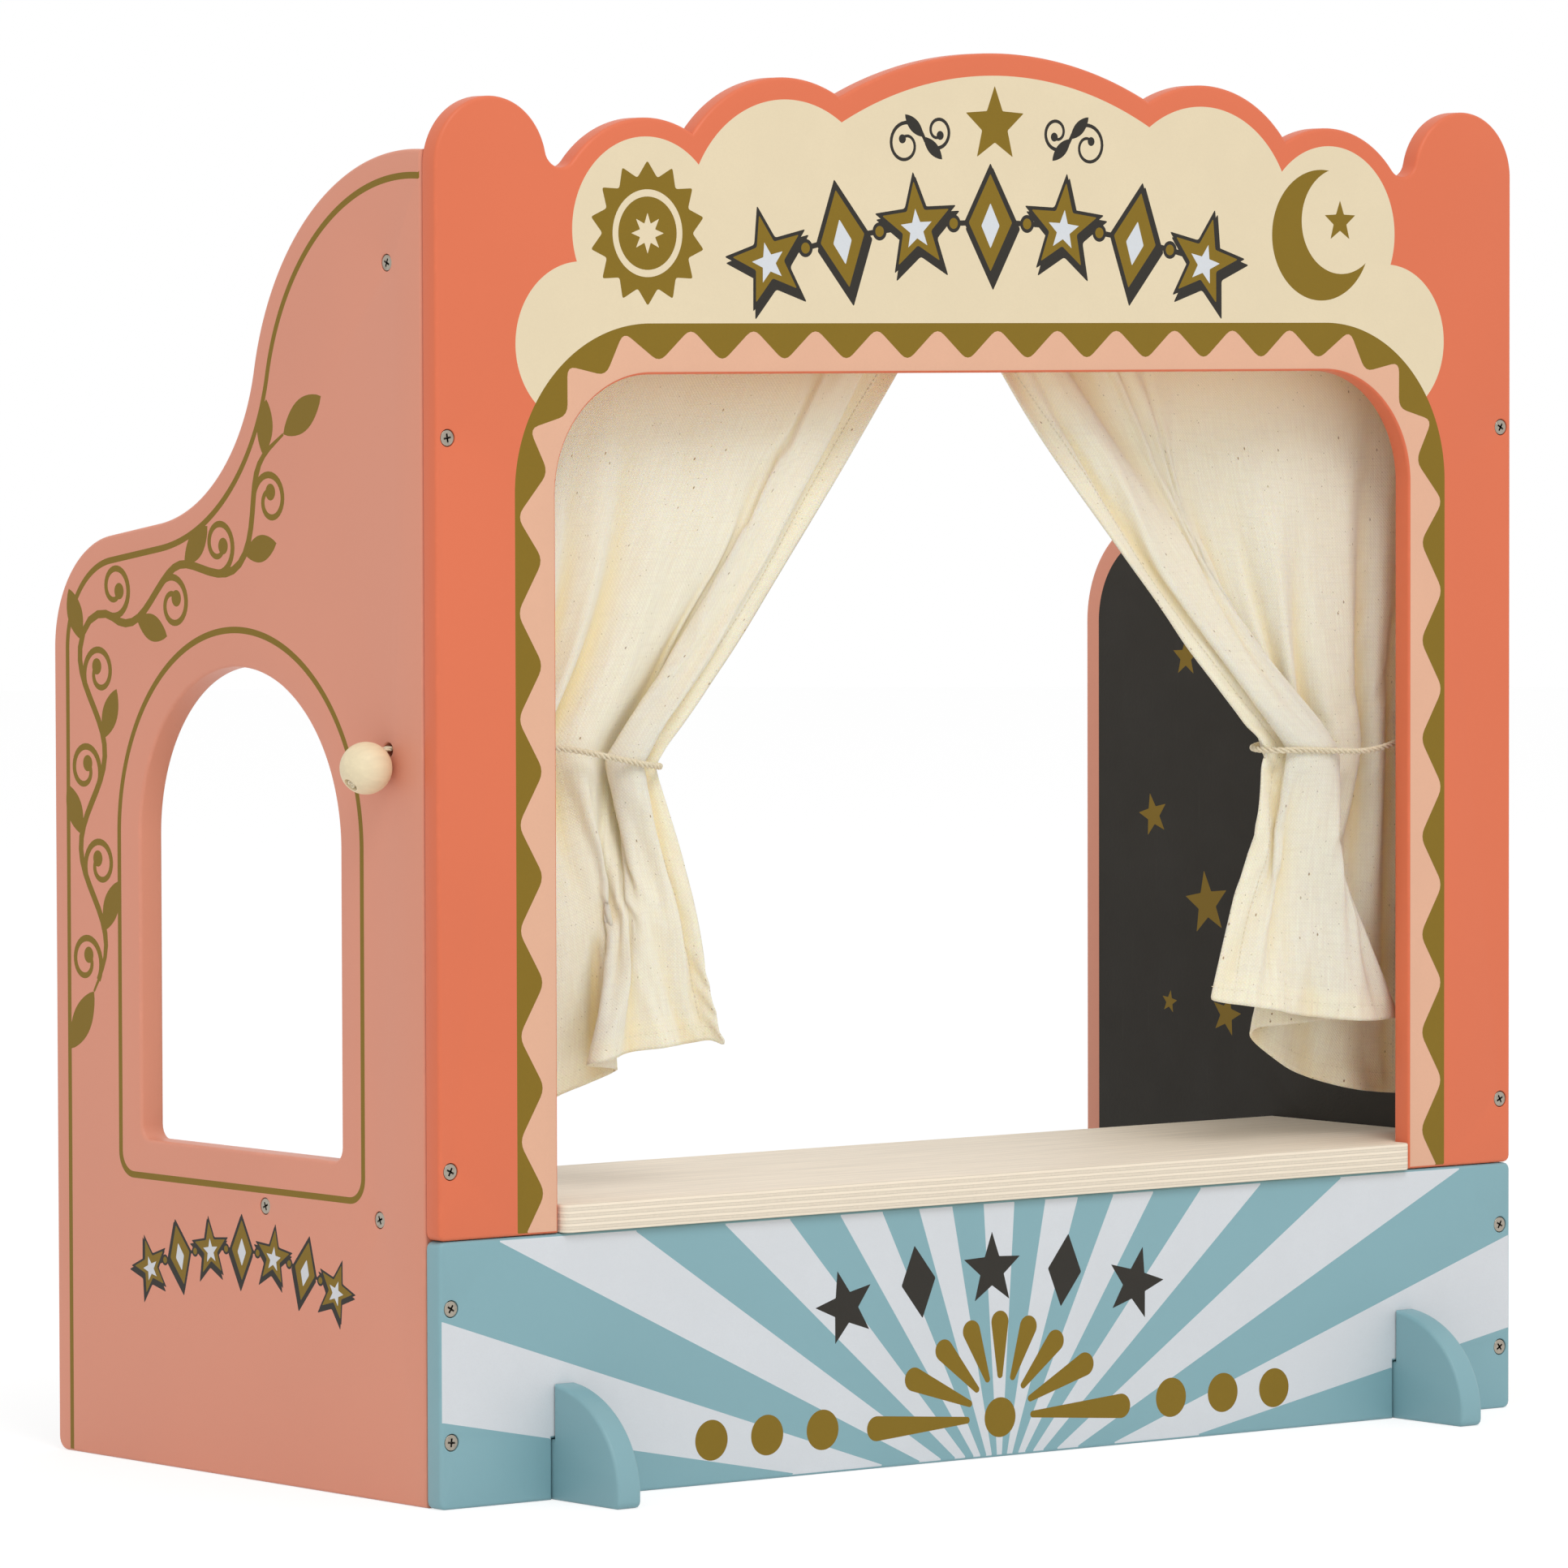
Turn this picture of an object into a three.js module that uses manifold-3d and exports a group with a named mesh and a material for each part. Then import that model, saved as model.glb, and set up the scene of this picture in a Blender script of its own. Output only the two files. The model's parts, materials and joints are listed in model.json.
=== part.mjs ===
// Puppet theater stand for a child: a scalloped arch over a base board, two shaped side boards, a plywood
// stage, two cross-lapped feet, a curtain rod with two tied-back curtains, and the beads that pull them.
// Millimetres, +Z up. X runs across the stage, Y from the audience to the puppeteer.
import * as THREE from 'three';
import { mergeVertices } from 'three/addons/utils/BufferGeometryUtils.js';
import Module from 'manifold-3d';

// Boards and their joints
const theaterWidth = 600;
const sideReach = 285; // front face of the arch to the rear edge of the sides
const frontThickness = 10;
const sideThickness = 12;
const edgeRound = 1.6; // softened edges of the painted boards
const edgeRoundSteps = 1;
const jointGap = 0.3; // between boards and pieces that touch
const cutOverrun = 2; // how far a cutter runs past the face that it cuts
const halfWidth = theaterWidth / 2;
const sideInner = halfWidth - sideThickness;
const sideFront = frontThickness + jointGap;
const arcPitch = 6.5; // longest chord on a rounded outline
const crownPitch = 9;
const postPitch = 4;
const cornerPitch = 3;
const smallCornerPitch = 2;
const quarterTurn = Math.PI / 2;

// Base board and the feet that cross it
const baseHeight = 111.7;
const boardCorner = 3;
const footThickness = 12;
const footInset = 64.3; // middle of a foot from the end of the base board
const footCentre = halfWidth - footInset;
const footReach = 45.5; // in front of the base board
const footHeight = 49.3;
const footUpright = 5.4; // plain upright edge under the round
const footLap = 26; // height at which foot and board cross
const footSlotClearance = 0.3;
const footArcPoints = 14;

// Proscenium arch: opening and scalloped top
const postWidth = 61.7; // board on each side of the opening
const openingHalfWidth = halfWidth - postWidth;
const openingTop = 470.8;
const openingCorner = 50;
const headerHeight = 137.7; // board over the opening, at the crown
const crownHeight = openingTop + headerHeight;
const crownRadius = 197.6;
const postRadius = 29;
const postDrop = 22; // top of the post below the crown
const outerLobe = { inward: 81, drop: 30, radius: 50 }; // inward from the post, top below the crown
const innerLobe = { inward: 73.5, drop: 12.1, radius: 62 }; // inward from the outer lobe
const valleyFillet = 8;

// Plywood stage
const stageThickness = 12;
const stageReach = 150; // rear edge, from the front face of the arch
const tongueProud = 3;
const tongueSideGap = 1;
const tongueCorner = 4;
const stageEdgeRound = 0.8;
const stageUnderside = baseHeight + jointGap;
const stageMiddle = stageUnderside + stageThickness / 2;
const stageTop = stageUnderside + stageThickness;

// Side boards: ogee top, from the round behind the arch by a hollow and a straight run to the rear shoulder
const sideTopDrop = 44; // below the crown of the arch
const ogeeTopRadius = 117.7;
const ogeeMeet = 13 * Math.PI / 180; // how far round the top the hollow starts
const ogeeHollowRadius = 86.8;
const ogeeSlope = 8.5 * Math.PI / 180; // fall of the straight run
const ogeeRun = 38.5;
const ogeeShoulderRadius = 50.5;
const sideHeelRadius = 6;

// Ticket window in the left side board
const windowFrontMargin = 70; // from the front face of the arch
const windowRearMargin = 66;
const windowSillRise = 22.6; // above the middle of the stage
const windowHeadroom = 59.3; // below the hollow
const windowCorner = 6;

// Curtain rod
const rodRadius = 6;
const rodBack = 35; // from the front face of the arch
const rodRise = 46.8; // above the top of the opening
const rodHeight = openingTop + rodRise;
const rodSides = 24;

// Countersunk screws
const headRadius = 3.4;
const headDepth = 2.2;
const headSink = 0.4;
const shankRadius = 1.6;
const screwLength = 28;
const screwPoint = 2.5;
const screwClearance = 0.3;
const crossArm = 1.9; // half the span of the cross recess
const crossWidth = 0.8;
const crossDepth = 1.2;
const screwSides = 16;
const archScrewDrop = 25.8; // upper arch screws, below the top of the opening
const archScrewRise = 28.8; // lower arch screws, above the foot of the arch
const baseScrewInset = 28; // from the upper and the lower edge of the base board
const stageScrewFront = 42.9;
const stageScrewInset = 23.7; // from the rear edge of the stage
const archScrewHeights = [openingTop - archScrewDrop, baseHeight + jointGap + archScrewRise];
const baseScrewHeights = [baseHeight - baseScrewInset, baseScrewInset];
const stageScrewBacks = [stageScrewFront, stageReach - stageScrewInset];

// Pull beads and their cords
const cordRadius = 1.1;
const cordSides = 8;
const cordSteps = 60;
const cordBendShare = 0.85; // of the bead's radius, where the cord starts to level out
const strandGap = 0.4; // between the two strands in the bead and the board
const strandSpacing = 2 * cordRadius + strandGap;
const boreClearance = 0.2;
const boreRadius = strandSpacing / 2 + cordRadius + boreClearance;
const cordHoleClearance = 0.6;
const cordHoleRadius = strandSpacing / 2 + cordRadius + cordHoleClearance;
const cordHoleHeight = 315;
const cordEntryShare = 1 / 3; // of the side board's thickness, where the strands start to part
const beadRadius = 11;
const beadTilt = 41 * Math.PI / 180;
const beadDrop = beadRadius * Math.sin(beadTilt); // its mouth is level with the cord hole
const knotRadius = 2.8;
const knotLength = 3.2;
const knotSeatRadius = knotRadius + jointGap;
const knotSeatDepth = 4;
const beadSides = 24;
const beadRings = 12;

// Curtains
const clothThickness = 2;
const casingClearance = 0.6;
const curtainColumns = 28;
const casingRows = 7;
const drapeRows = 12;
const foldCount = 4;
const hookAngle = 35 * Math.PI / 180; // how far the casing tucks back under the rod
const curtainSideGap = 3; // from the side board
const waistPinch = 24; // how far the cord draws the outer edge in
const waistSpread = 45; // height over which it does
const topFold = 2.5;
const waistFold = 8.8;
const hemFold = 9;
const curtainMiddleGap = 6; // from the middle of the rod to the drawn curtain
const edgeSearchSteps = 24;

// Paint and wood
const paints = {
  coral: new THREE.MeshStandardMaterial({ color: 0xe17a5b, roughness: 0.45, metalness: 0 }),
  salmon: new THREE.MeshStandardMaterial({ color: 0xd6967f, roughness: 0.45, metalness: 0 }),
  blue: new THREE.MeshStandardMaterial({ color: 0x98bdc5, roughness: 0.45, metalness: 0 }),
  plywood: new THREE.MeshStandardMaterial({ color: 0xe8dcc6, roughness: 0.6, metalness: 0 }),
  dowel: new THREE.MeshStandardMaterial({ color: 0xdcc7a0, roughness: 0.6, metalness: 0 }),
  calico: new THREE.MeshStandardMaterial({ color: 0xe8ddca, roughness: 0.95, metalness: 0 }),
  cotton: new THREE.MeshStandardMaterial({ color: 0xe9dcbd, roughness: 0.9, metalness: 0 }),
  beech: new THREE.MeshStandardMaterial({ color: 0xecdfbe, roughness: 0.4, metalness: 0 }),
  steel: new THREE.MeshStandardMaterial({ color: 0xb9b4aa, roughness: 0.3, metalness: 1 }),
};

const wasm = await Module();
wasm.setup();

const stand = new THREE.Group();
// The model is laid out from the front face of the arch. This puts the origin under the middle of its box.
const layout = new THREE.Group();
layout.position.y = (footReach - sideReach) / 2;
stand.add(layout);

function addPiece(name, geometry, material) {
  const piece = new THREE.Mesh(geometry, material);
  piece.name = name;
  layout.add(piece);
  return piece;
}

// Closed solids for cutting and joining

function toSolid(geometry) {
  const bare = geometry.clone();
  bare.deleteAttribute('normal');
  bare.deleteAttribute('uv');
  const merged = mergeVertices(bare, jointGap / 1000);
  return new wasm.Manifold(new wasm.Mesh({
    numProp: 3,
    vertProperties: new Float32Array(merged.attributes.position.array),
    triVerts: new Uint32Array(merged.index.array),
  }));
}

function toGeometry(solid) {
  const mesh = solid.getMesh();
  const geometry = new THREE.BufferGeometry();
  geometry.setAttribute('position', new THREE.BufferAttribute(mesh.vertProperties, mesh.numProp));
  geometry.setIndex(new THREE.BufferAttribute(mesh.triVerts, 1));
  geometry.computeVertexNormals();
  return geometry;
}

function cut(geometry, cutters) {
  let solid = toSolid(geometry);
  for (const cutter of cutters) solid = solid.subtract(toSolid(cutter));
  return toGeometry(solid);
}

// Outlines

// Points of an arc about (x, y), both ends included, counted so that no chord is much longer than pitch.
function arc(x, y, radius, start, end, pitch = arcPitch) {
  const steps = Math.max(3, Math.ceil(Math.abs(end - start) * radius / pitch));
  const points = [];
  for (let i = 0; i <= steps; i += 1) {
    const angle = start + (end - start) * i / steps;
    points.push(new THREE.Vector2(x + radius * Math.cos(angle), y + radius * Math.sin(angle)));
  }
  return points;
}

function angleTo(from, to) {
  return Math.atan2(to.y - from.y, to.x - from.x);
}

// Where two circles cross, on the upper side.
function upperCrossing(a, radiusA, b, radiusB) {
  const span = a.distanceTo(b);
  const along = (radiusA ** 2 - radiusB ** 2 + span ** 2) / (2 * span);
  const aside = Math.sqrt(Math.max(0, radiusA ** 2 - along ** 2));
  const direction = b.clone().sub(a).divideScalar(span);
  const up = new THREE.Vector2(-direction.y, direction.x);
  if (up.y < 0) up.negate();
  return a.clone().addScaledVector(direction, along).addScaledVector(up, aside);
}

function mirrored(points) {
  return points.map((point) => new THREE.Vector2(-point.x, point.y)).reverse();
}

function withoutDoubles(points, least) {
  const kept = points.filter((point, i) => i === 0 || point.distanceTo(points[i - 1]) > least);
  if (kept[0].distanceTo(kept[kept.length - 1]) <= least) kept.pop();
  return kept;
}

function circleHole(x, y, radius) {
  return new THREE.Path(arc(x, y, radius, 0, 2 * Math.PI, radius / 2).slice(0, -1));
}

// A board from z = 0 up to its thickness, with its edges rounded over.
function board(points, thickness, round, holes = []) {
  const shape = new THREE.Shape(withoutDoubles(points, jointGap));
  shape.holes = holes;
  const geometry = new THREE.ExtrudeGeometry(shape, {
    depth: thickness - 2 * round,
    steps: 1,
    bevelEnabled: true,
    bevelThickness: round,
    bevelSize: round,
    bevelOffset: -round,
    bevelSegments: edgeRoundSteps,
  });
  return geometry.translate(0, 0, round);
}

// Stands a board drawn in X and Z upright, its front face at front.
function standAcross(geometry, front, thickness) {
  return geometry.rotateX(quarterTurn).translate(0, front + thickness, 0);
}

// Stands a board drawn in Y and Z upright along the side, with its left face at left.
function standAlong(geometry, left) {
  return geometry.rotateX(quarterTurn).rotateZ(quarterTurn).translate(left, 0, 0);
}

// Screws, and the holes that they need

function screwProfile(spare) {
  const flare = headRadius + spare;
  const shank = shankRadius + spare;
  return [
    [0, -screwLength - spare],
    [shank, -screwLength + screwPoint - spare],
    [shank, -headDepth],
    [flare, 0],
  ];
}

function lathe(profile, sides) {
  return new THREE.LatheGeometry(profile.map(([r, z]) => new THREE.Vector2(r, z)), sides)
    .rotateX(quarterTurn);
}

function crossRecess() {
  const arms = [];
  for (const turn of [0, quarterTurn]) {
    const arm = new THREE.BoxGeometry(2 * crossArm, crossWidth, crossDepth + cutOverrun);
    arms.push(arm.translate(0, 0, (cutOverrun - crossDepth) / 2).rotateZ(turn));
  }
  return arms;
}

const screwGeometry = cut(lathe([...screwProfile(0), [0, 0]], screwSides), crossRecess());

// Turns a shape that points along +Z so that it points along the given way out of the board.
function aim(geometry, way) {
  const turn = new THREE.Quaternion().setFromUnitVectors(new THREE.Vector3(0, 0, 1), way);
  return geometry.applyQuaternion(turn);
}

const outFront = new THREE.Vector3(0, -1, 0);
const outLeft = new THREE.Vector3(-1, 0, 0);
const outRight = new THREE.Vector3(1, 0, 0);

const screws = [];
const sides = [
  { name: 'left', sign: -1, out: outLeft },
  { name: 'right', sign: 1, out: outRight },
];
const sideMiddle = halfWidth - sideThickness / 2;

for (const { name, sign, out } of sides) {
  archScrewHeights.forEach((height, i) => {
    const place = ['upper', 'lower'][i];
    screws.push({
      name: `arch_screw_${name}_${place}`,
      at: new THREE.Vector3(sign * sideMiddle, 0, height),
      out: outFront,
      boards: ['arch', name],
    });
  });
  baseScrewHeights.forEach((height, i) => {
    const place = ['upper', 'lower'][i];
    screws.push({
      name: `base_screw_${name}_${place}`,
      at: new THREE.Vector3(sign * sideMiddle, 0, height),
      out: outFront,
      boards: ['base', name],
    });
  });
  stageScrewBacks.forEach((back, i) => {
    const place = ['front', 'rear'][i];
    screws.push({
      name: `stage_screw_${name}_${place}`,
      at: new THREE.Vector3(sign * halfWidth, back, stageMiddle),
      out,
      boards: [name, 'stage'],
    });
  });
  screws.push({
    name: `rod_screw_${name}`,
    at: new THREE.Vector3(sign * halfWidth, rodBack, rodHeight),
    out,
    boards: [name, 'rod'],
  });
}

// The holes that one board needs: a countersunk bore for each screw through it or into it.
function screwHoles(boardName) {
  return screws.filter((screw) => screw.boards.includes(boardName)).map((screw) => {
    const profile = screwProfile(screwClearance);
    const flare = headRadius + screwClearance;
    const hole = lathe([...profile, [flare, cutOverrun], [0, cutOverrun]], screwSides);
    const seat = screw.at.clone().addScaledVector(screw.out, -headSink);
    return aim(hole, screw.out).translate(seat.x, seat.y, seat.z);
  });
}

function makeScrews() {
  for (const screw of screws) {
    const seat = screw.at.clone().addScaledVector(screw.out, -headSink);
    const geometry = aim(screwGeometry.clone(), screw.out);
    addPiece(screw.name, geometry.translate(seat.x, seat.y, seat.z), paints.steel);
  }
}

// Proscenium arch

// Right half of the scalloped top, from the middle out to the right edge.
function scallopHalf() {
  const beside = (outward, lobe) => (
    new THREE.Vector2(outward.x - lobe.inward, crownHeight - lobe.drop - lobe.radius));
  const crown = new THREE.Vector2(0, crownHeight - crownRadius);
  const post = new THREE.Vector2(halfWidth - postRadius, crownHeight - postDrop - postRadius);
  const outer = beside(post, outerLobe);
  const inner = beside(outer, innerLobe);
  const firstValley = upperCrossing(crown, crownRadius, inner, innerLobe.radius);
  const secondValley = upperCrossing(inner, innerLobe.radius, outer, outerLobe.radius);
  const fillet = upperCrossing(outer, outerLobe.radius + valleyFillet, post, postRadius + valleyFillet);
  return [
    ...arc(crown.x, crown.y, crownRadius, quarterTurn, angleTo(crown, firstValley), crownPitch),
    ...arc(inner.x, inner.y, innerLobe.radius, angleTo(inner, firstValley), angleTo(inner, secondValley)),
    ...arc(outer.x, outer.y, outerLobe.radius, angleTo(outer, secondValley), angleTo(outer, fillet)),
    ...arc(fillet.x, fillet.y, valleyFillet, angleTo(fillet, outer), angleTo(fillet, post), cornerPitch),
    ...arc(post.x, post.y, postRadius, angleTo(post, fillet), 0, postPitch),
  ];
}

// The rounded corner at the right-hand end of a front board.
function boardCornerArc(height, start, end) {
  return arc(halfWidth - boardCorner, height, boardCorner, start, end, smallCornerPitch);
}

function archOutline() {
  const bottom = baseHeight + jointGap;
  const half = [
    ...scallopHalf(),
    ...boardCornerArc(bottom + boardCorner, 0, -quarterTurn),
    new THREE.Vector2(openingHalfWidth, bottom),
    ...arc(
      openingHalfWidth - openingCorner, openingTop - openingCorner, openingCorner, 0, quarterTurn),
  ];
  return [...half, ...mirrored(half)];
}

function makeArch() {
  const panel = standAcross(board(archOutline(), frontThickness, edgeRound), 0, frontThickness);
  addPiece('proscenium_arch', cut(panel, screwHoles('arch')), paints.coral);
}

// Base board

function makeBase() {
  const slotHalf = footThickness / 2 + footSlotClearance;
  const half = [
    ...boardCornerArc(baseHeight - boardCorner, quarterTurn, 0),
    ...boardCornerArc(boardCorner, 0, -quarterTurn),
    new THREE.Vector2(footCentre + slotHalf, 0),
    new THREE.Vector2(footCentre + slotHalf, footLap),
    new THREE.Vector2(footCentre - slotHalf, footLap),
    new THREE.Vector2(footCentre - slotHalf, 0),
  ];
  const panel = board([...half, ...mirrored(half)], frontThickness, edgeRound);
  const upright = standAcross(panel, 0, frontThickness);
  addPiece('base_panel', cut(upright, screwHoles('base')), paints.blue);
}

// Feet

function footOutline() {
  const middle = frontThickness / 2;
  const reach = footReach + middle;
  const rise = footHeight - footUpright;
  const slotHalf = middle + footSlotClearance;
  const lap = footLap - jointGap;
  const round = [];
  for (let i = 0; i <= footArcPoints; i += 1) {
    const angle = quarterTurn * i / footArcPoints;
    round.push(new THREE.Vector2(reach * Math.cos(angle), footUpright + rise * Math.sin(angle)));
  }
  const beyondSlot = round.filter((point) => point.x > slotHalf + 2 * edgeRound);
  const slotTop = footUpright + rise * Math.sqrt(1 - (slotHalf / reach) ** 2);
  const half = [
    new THREE.Vector2(reach - boardCorner, 0),
    new THREE.Vector2(reach, boardCorner),
    ...beyondSlot,
    new THREE.Vector2(slotHalf, slotTop),
    new THREE.Vector2(slotHalf, lap),
  ];
  return [...half, ...mirrored(half)].map((point) => point.add(new THREE.Vector2(middle, 0)));
}

function makeFeet() {
  for (const { name, sign } of sides) {
    const foot = standAlong(board(footOutline(), footThickness, edgeRound), -footThickness / 2);
    addPiece(`${name}_foot`, foot.translate(sign * footCentre, 0, 0), paints.blue);
  }
}

// Side boards

// Centres of the ogee's three rounds, found from the shoulder forwards and from the top down.
function ogeeCentres() {
  const step = (angle, length) => new THREE.Vector2(Math.cos(angle), Math.sin(angle)).multiplyScalar(length);
  const hollowFromTop = step(ogeeMeet, ogeeTopRadius + ogeeHollowRadius);
  const shoulderFromHollow = step(-ogeeSlope - quarterTurn, ogeeHollowRadius + ogeeShoulderRadius)
    .add(step(-ogeeSlope, ogeeRun));
  const shoulderBack = sideReach - ogeeShoulderRadius;
  const top = new THREE.Vector2(
    shoulderBack - shoulderFromHollow.x - hollowFromTop.x, crownHeight - sideTopDrop - ogeeTopRadius);
  const hollow = top.clone().add(hollowFromTop);
  return { top, hollow, shoulder: hollow.clone().add(shoulderFromHollow) };
}

function sideOutline() {
  const { top, hollow, shoulder } = ogeeCentres();
  const frontAngle = Math.acos((sideFront - top.x) / ogeeTopRadius);
  const hollowEnd = -ogeeSlope - quarterTurn;
  return [
    new THREE.Vector2(sideFront, 0),
    ...arc(sideReach - sideHeelRadius, sideHeelRadius, sideHeelRadius, -quarterTurn, 0, cornerPitch),
    ...arc(shoulder.x, shoulder.y, ogeeShoulderRadius, 0, quarterTurn - ogeeSlope),
    ...arc(hollow.x, hollow.y, ogeeHollowRadius, hollowEnd, ogeeMeet - Math.PI),
    ...arc(top.x, top.y, ogeeTopRadius, ogeeMeet, frontAngle),
  ];
}

function windowHole() {
  const halfWindow = (sideReach - windowFrontMargin - windowRearMargin) / 2;
  const middle = windowFrontMargin + halfWindow;
  const spring = ogeeCentres().hollow.y - ogeeHollowRadius - windowHeadroom - halfWindow;
  const front = middle - halfWindow + windowCorner;
  const rear = middle + halfWindow - windowCorner;
  const low = stageMiddle + windowSillRise + windowCorner;
  return new THREE.Path([
    ...arc(middle, spring, halfWindow, 0, Math.PI),
    ...arc(front, low, windowCorner, Math.PI, 3 * quarterTurn, cornerPitch),
    ...arc(rear, low, windowCorner, -quarterTurn, 0, cornerPitch),
  ]);
}

function makeSides() {
  for (const { name, sign } of sides) {
    const holes = [circleHole(rodBack, cordHoleHeight, cordHoleRadius)];
    if (name === 'left') holes.push(windowHole());
    const panel = board(sideOutline(), sideThickness, edgeRound, holes);
    const left = sign < 0 ? -halfWidth : sideInner;
    const upright = standAlong(panel, left);
    addPiece(`${name}_side_panel`, cut(upright, screwHoles(name)), paints.salmon);
  }
}

// Stage

function makeStage() {
  const wide = sideInner - jointGap;
  const narrow = openingHalfWidth - tongueSideGap;
  const tip = tongueCorner - tongueProud;
  const half = [
    new THREE.Vector2(wide, stageReach),
    new THREE.Vector2(wide, sideFront),
    new THREE.Vector2(narrow, sideFront),
    ...arc(narrow - tongueCorner, tip, tongueCorner, 0, -quarterTurn, smallCornerPitch),
  ];
  const stage = board([...half, ...mirrored(half)], stageThickness, stageEdgeRound);
  addPiece('stage_shelf', cut(stage.translate(0, 0, stageUnderside), screwHoles('stage')), paints.plywood);
}

// Curtain rod

function makeRod() {
  const half = sideInner - jointGap;
  const rod = new THREE.CylinderGeometry(rodRadius, rodRadius, 2 * half, rodSides);
  rod.rotateZ(quarterTurn).translate(0, rodBack, rodHeight);
  addPiece('curtain_rod', cut(rod, screwHoles('rod')), paints.dowel);
}

// Pull beads and tie-back cords

const beadCentreOut = sideThickness + jointGap + beadRadius; // from the inner face of the side board

function makeBead(name, sign) {
  const boreHalf = Math.sqrt(beadRadius ** 2 - boreRadius ** 2);
  const seatHalf = Math.sqrt(beadRadius ** 2 - knotSeatRadius ** 2);
  const start = Math.atan2(-seatHalf, knotSeatRadius);
  const end = Math.atan2(boreHalf, boreRadius);
  const profile = [[boreRadius, -seatHalf + knotSeatDepth], [knotSeatRadius, -seatHalf + knotSeatDepth]];
  for (let i = 0; i <= beadRings; i += 1) {
    const angle = start + (end - start) * i / beadRings;
    profile.push([beadRadius * Math.cos(angle), beadRadius * Math.sin(angle)]);
  }
  profile.push(profile[0]);
  // The bore's inner mouth points up at the hole in the side board.
  const bead = lathe(profile, beadSides).rotateY(sign * (beadTilt - quarterTurn));
  bead.translate(sign * (sideInner + beadCentreOut), rodBack, cordHoleHeight - beadDrop);
  addPiece(`${name}_bead`, bead, paints.beech);
}

// Each cord is a hand-laid route, with its places counted from the cord hole: how far in from the side board,
// how far back, how far up. It leaves the knot, passes bead and board, goes round the curtain and comes back.
const cordRoutes = {
  left: [
    [7, -1.3, 0], [14, -1.5, 0], [20, -5.6, 0.1], [27, -10.6, 0.3], [38, -12.6, 0.4],
    [54, -13.2, 0], [76, -13.6, -2.4], [98, -13.6, -6.6], [114, -12.6, -9.6], [124, -8, -10.6],
    [127, 0, -10.4], [124, 7.8, -10], [113, 12.6, -8.8], [94, 13.8, -6.4], [70, 14, -3.6],
    [46, 13.4, -1.4], [30, 11.4, -0.6], [21, 5.8, -0.2], [14, 1.5, 0], [7, 1.3, 0],
  ],
  right: [
    [7, -1.3, 0], [14, -1.5, 0], [20, -5.4, -2.2], [27, -10.4, -6.4], [34, -13, -10.4],
    [46, -14.4, -13.6], [60, -15, -15.2], [78, -14.6, -14.6], [94, -13.4, -13.8], [105, -8.6, -13.8],
    [108, 0, -13.6], [105, 8, -13], [93, 12.8, -11.6], [74, 14, -9.6], [56, 14, -6.8],
    [40, 13, -4.4], [29, 10.6, -2.6], [21, 5.6, -1], [14, 1.5, 0], [7, 1.3, 0],
  ],
};

function makeTieCord(name, sign) {
  const centre = new THREE.Vector3(-beadCentreOut, 0, -beadDrop);
  const along = new THREE.Vector3(Math.cos(beadTilt), 0, Math.sin(beadTilt));
  const seatHalf = Math.sqrt(beadRadius ** 2 - knotSeatRadius ** 2);
  const knotOut = seatHalf - knotSeatDepth / 2;
  const strand = (side) => [
    centre.clone().addScaledVector(along, -knotOut),
    centre.clone().addScaledVector(along, beadRadius * cordBendShare),
    new THREE.Vector3(-sideThickness, 0, cordRadius / 2),
    new THREE.Vector3(-sideThickness * cordEntryShare, 0, 0),
  ].map((point) => point.add(new THREE.Vector3(0, side * strandSpacing / 2, 0)));
  const route = [
    ...strand(-1),
    ...cordRoutes[name].map((place) => new THREE.Vector3(...place)),
    ...strand(1).reverse(),
  ];
  const fromHole = (point) => new THREE.Vector3(
    sign * (sideInner - point.x), rodBack + point.y, cordHoleHeight + point.z);
  const curve = new THREE.CatmullRomCurve3(route.map(fromHole), false, 'centripetal');
  const section = new THREE.Shape(arc(0, 0, cordRadius, 0, 2 * Math.PI, 2 * Math.PI * cordRadius / cordSides)
    .slice(0, -1));
  const tube = new THREE.ExtrudeGeometry(section, {
    steps: cordSteps, extrudePath: curve, bevelEnabled: false,
  });
  const knot = new THREE.SphereGeometry(knotRadius, cordSides + 2, cordSides)
    .scale(1, 1, knotLength / (2 * knotRadius))
    .rotateY(sign * (beadTilt - quarterTurn));
  const knotAt = fromHole(centre.clone().addScaledVector(along, -knotOut));
  knot.translate(knotAt.x, knotAt.y, knotAt.z);
  addPiece(`${name}_tie_cord`, toGeometry(toSolid(tube).add(toSolid(knot))), paints.cotton);
}

// Curtains

// The hem rises above the stage, more so at the inner edge. That edge runs from the hem in to the waist and
// out again to the rod, and its places between are shares of the height and of the width of each stretch.
const curtains = {
  left: {
    outerHemRise: 26,
    innerHemRise: 64,
    hemWidth: 166,
    waistDrop: 9, // below the cord hole
    waistWidth: 119,
    skirtShares: [[0, 1], [0.36, 0.7], [0.7, 0.38], [0.95, 0.01]],
    drapeShares: [[0.03, 0.01], [0.19, 0.25], [0.48, 0.58], [0.78, 0.89], [1, 1]],
  },
  right: {
    outerHemRise: 17,
    innerHemRise: 65,
    hemWidth: 138,
    waistDrop: 13,
    waistWidth: 99,
    skirtShares: [[0, 1], [0.36, 0.8], [0.72, 0.33], [0.95, 0.01]],
    drapeShares: [[0.03, 0.02], [0.23, 0.38], [0.55, 0.69], [0.78, 0.85], [1, 1]],
  },
};
const curtainTopWidth = sideInner - curtainMiddleGap;

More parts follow.
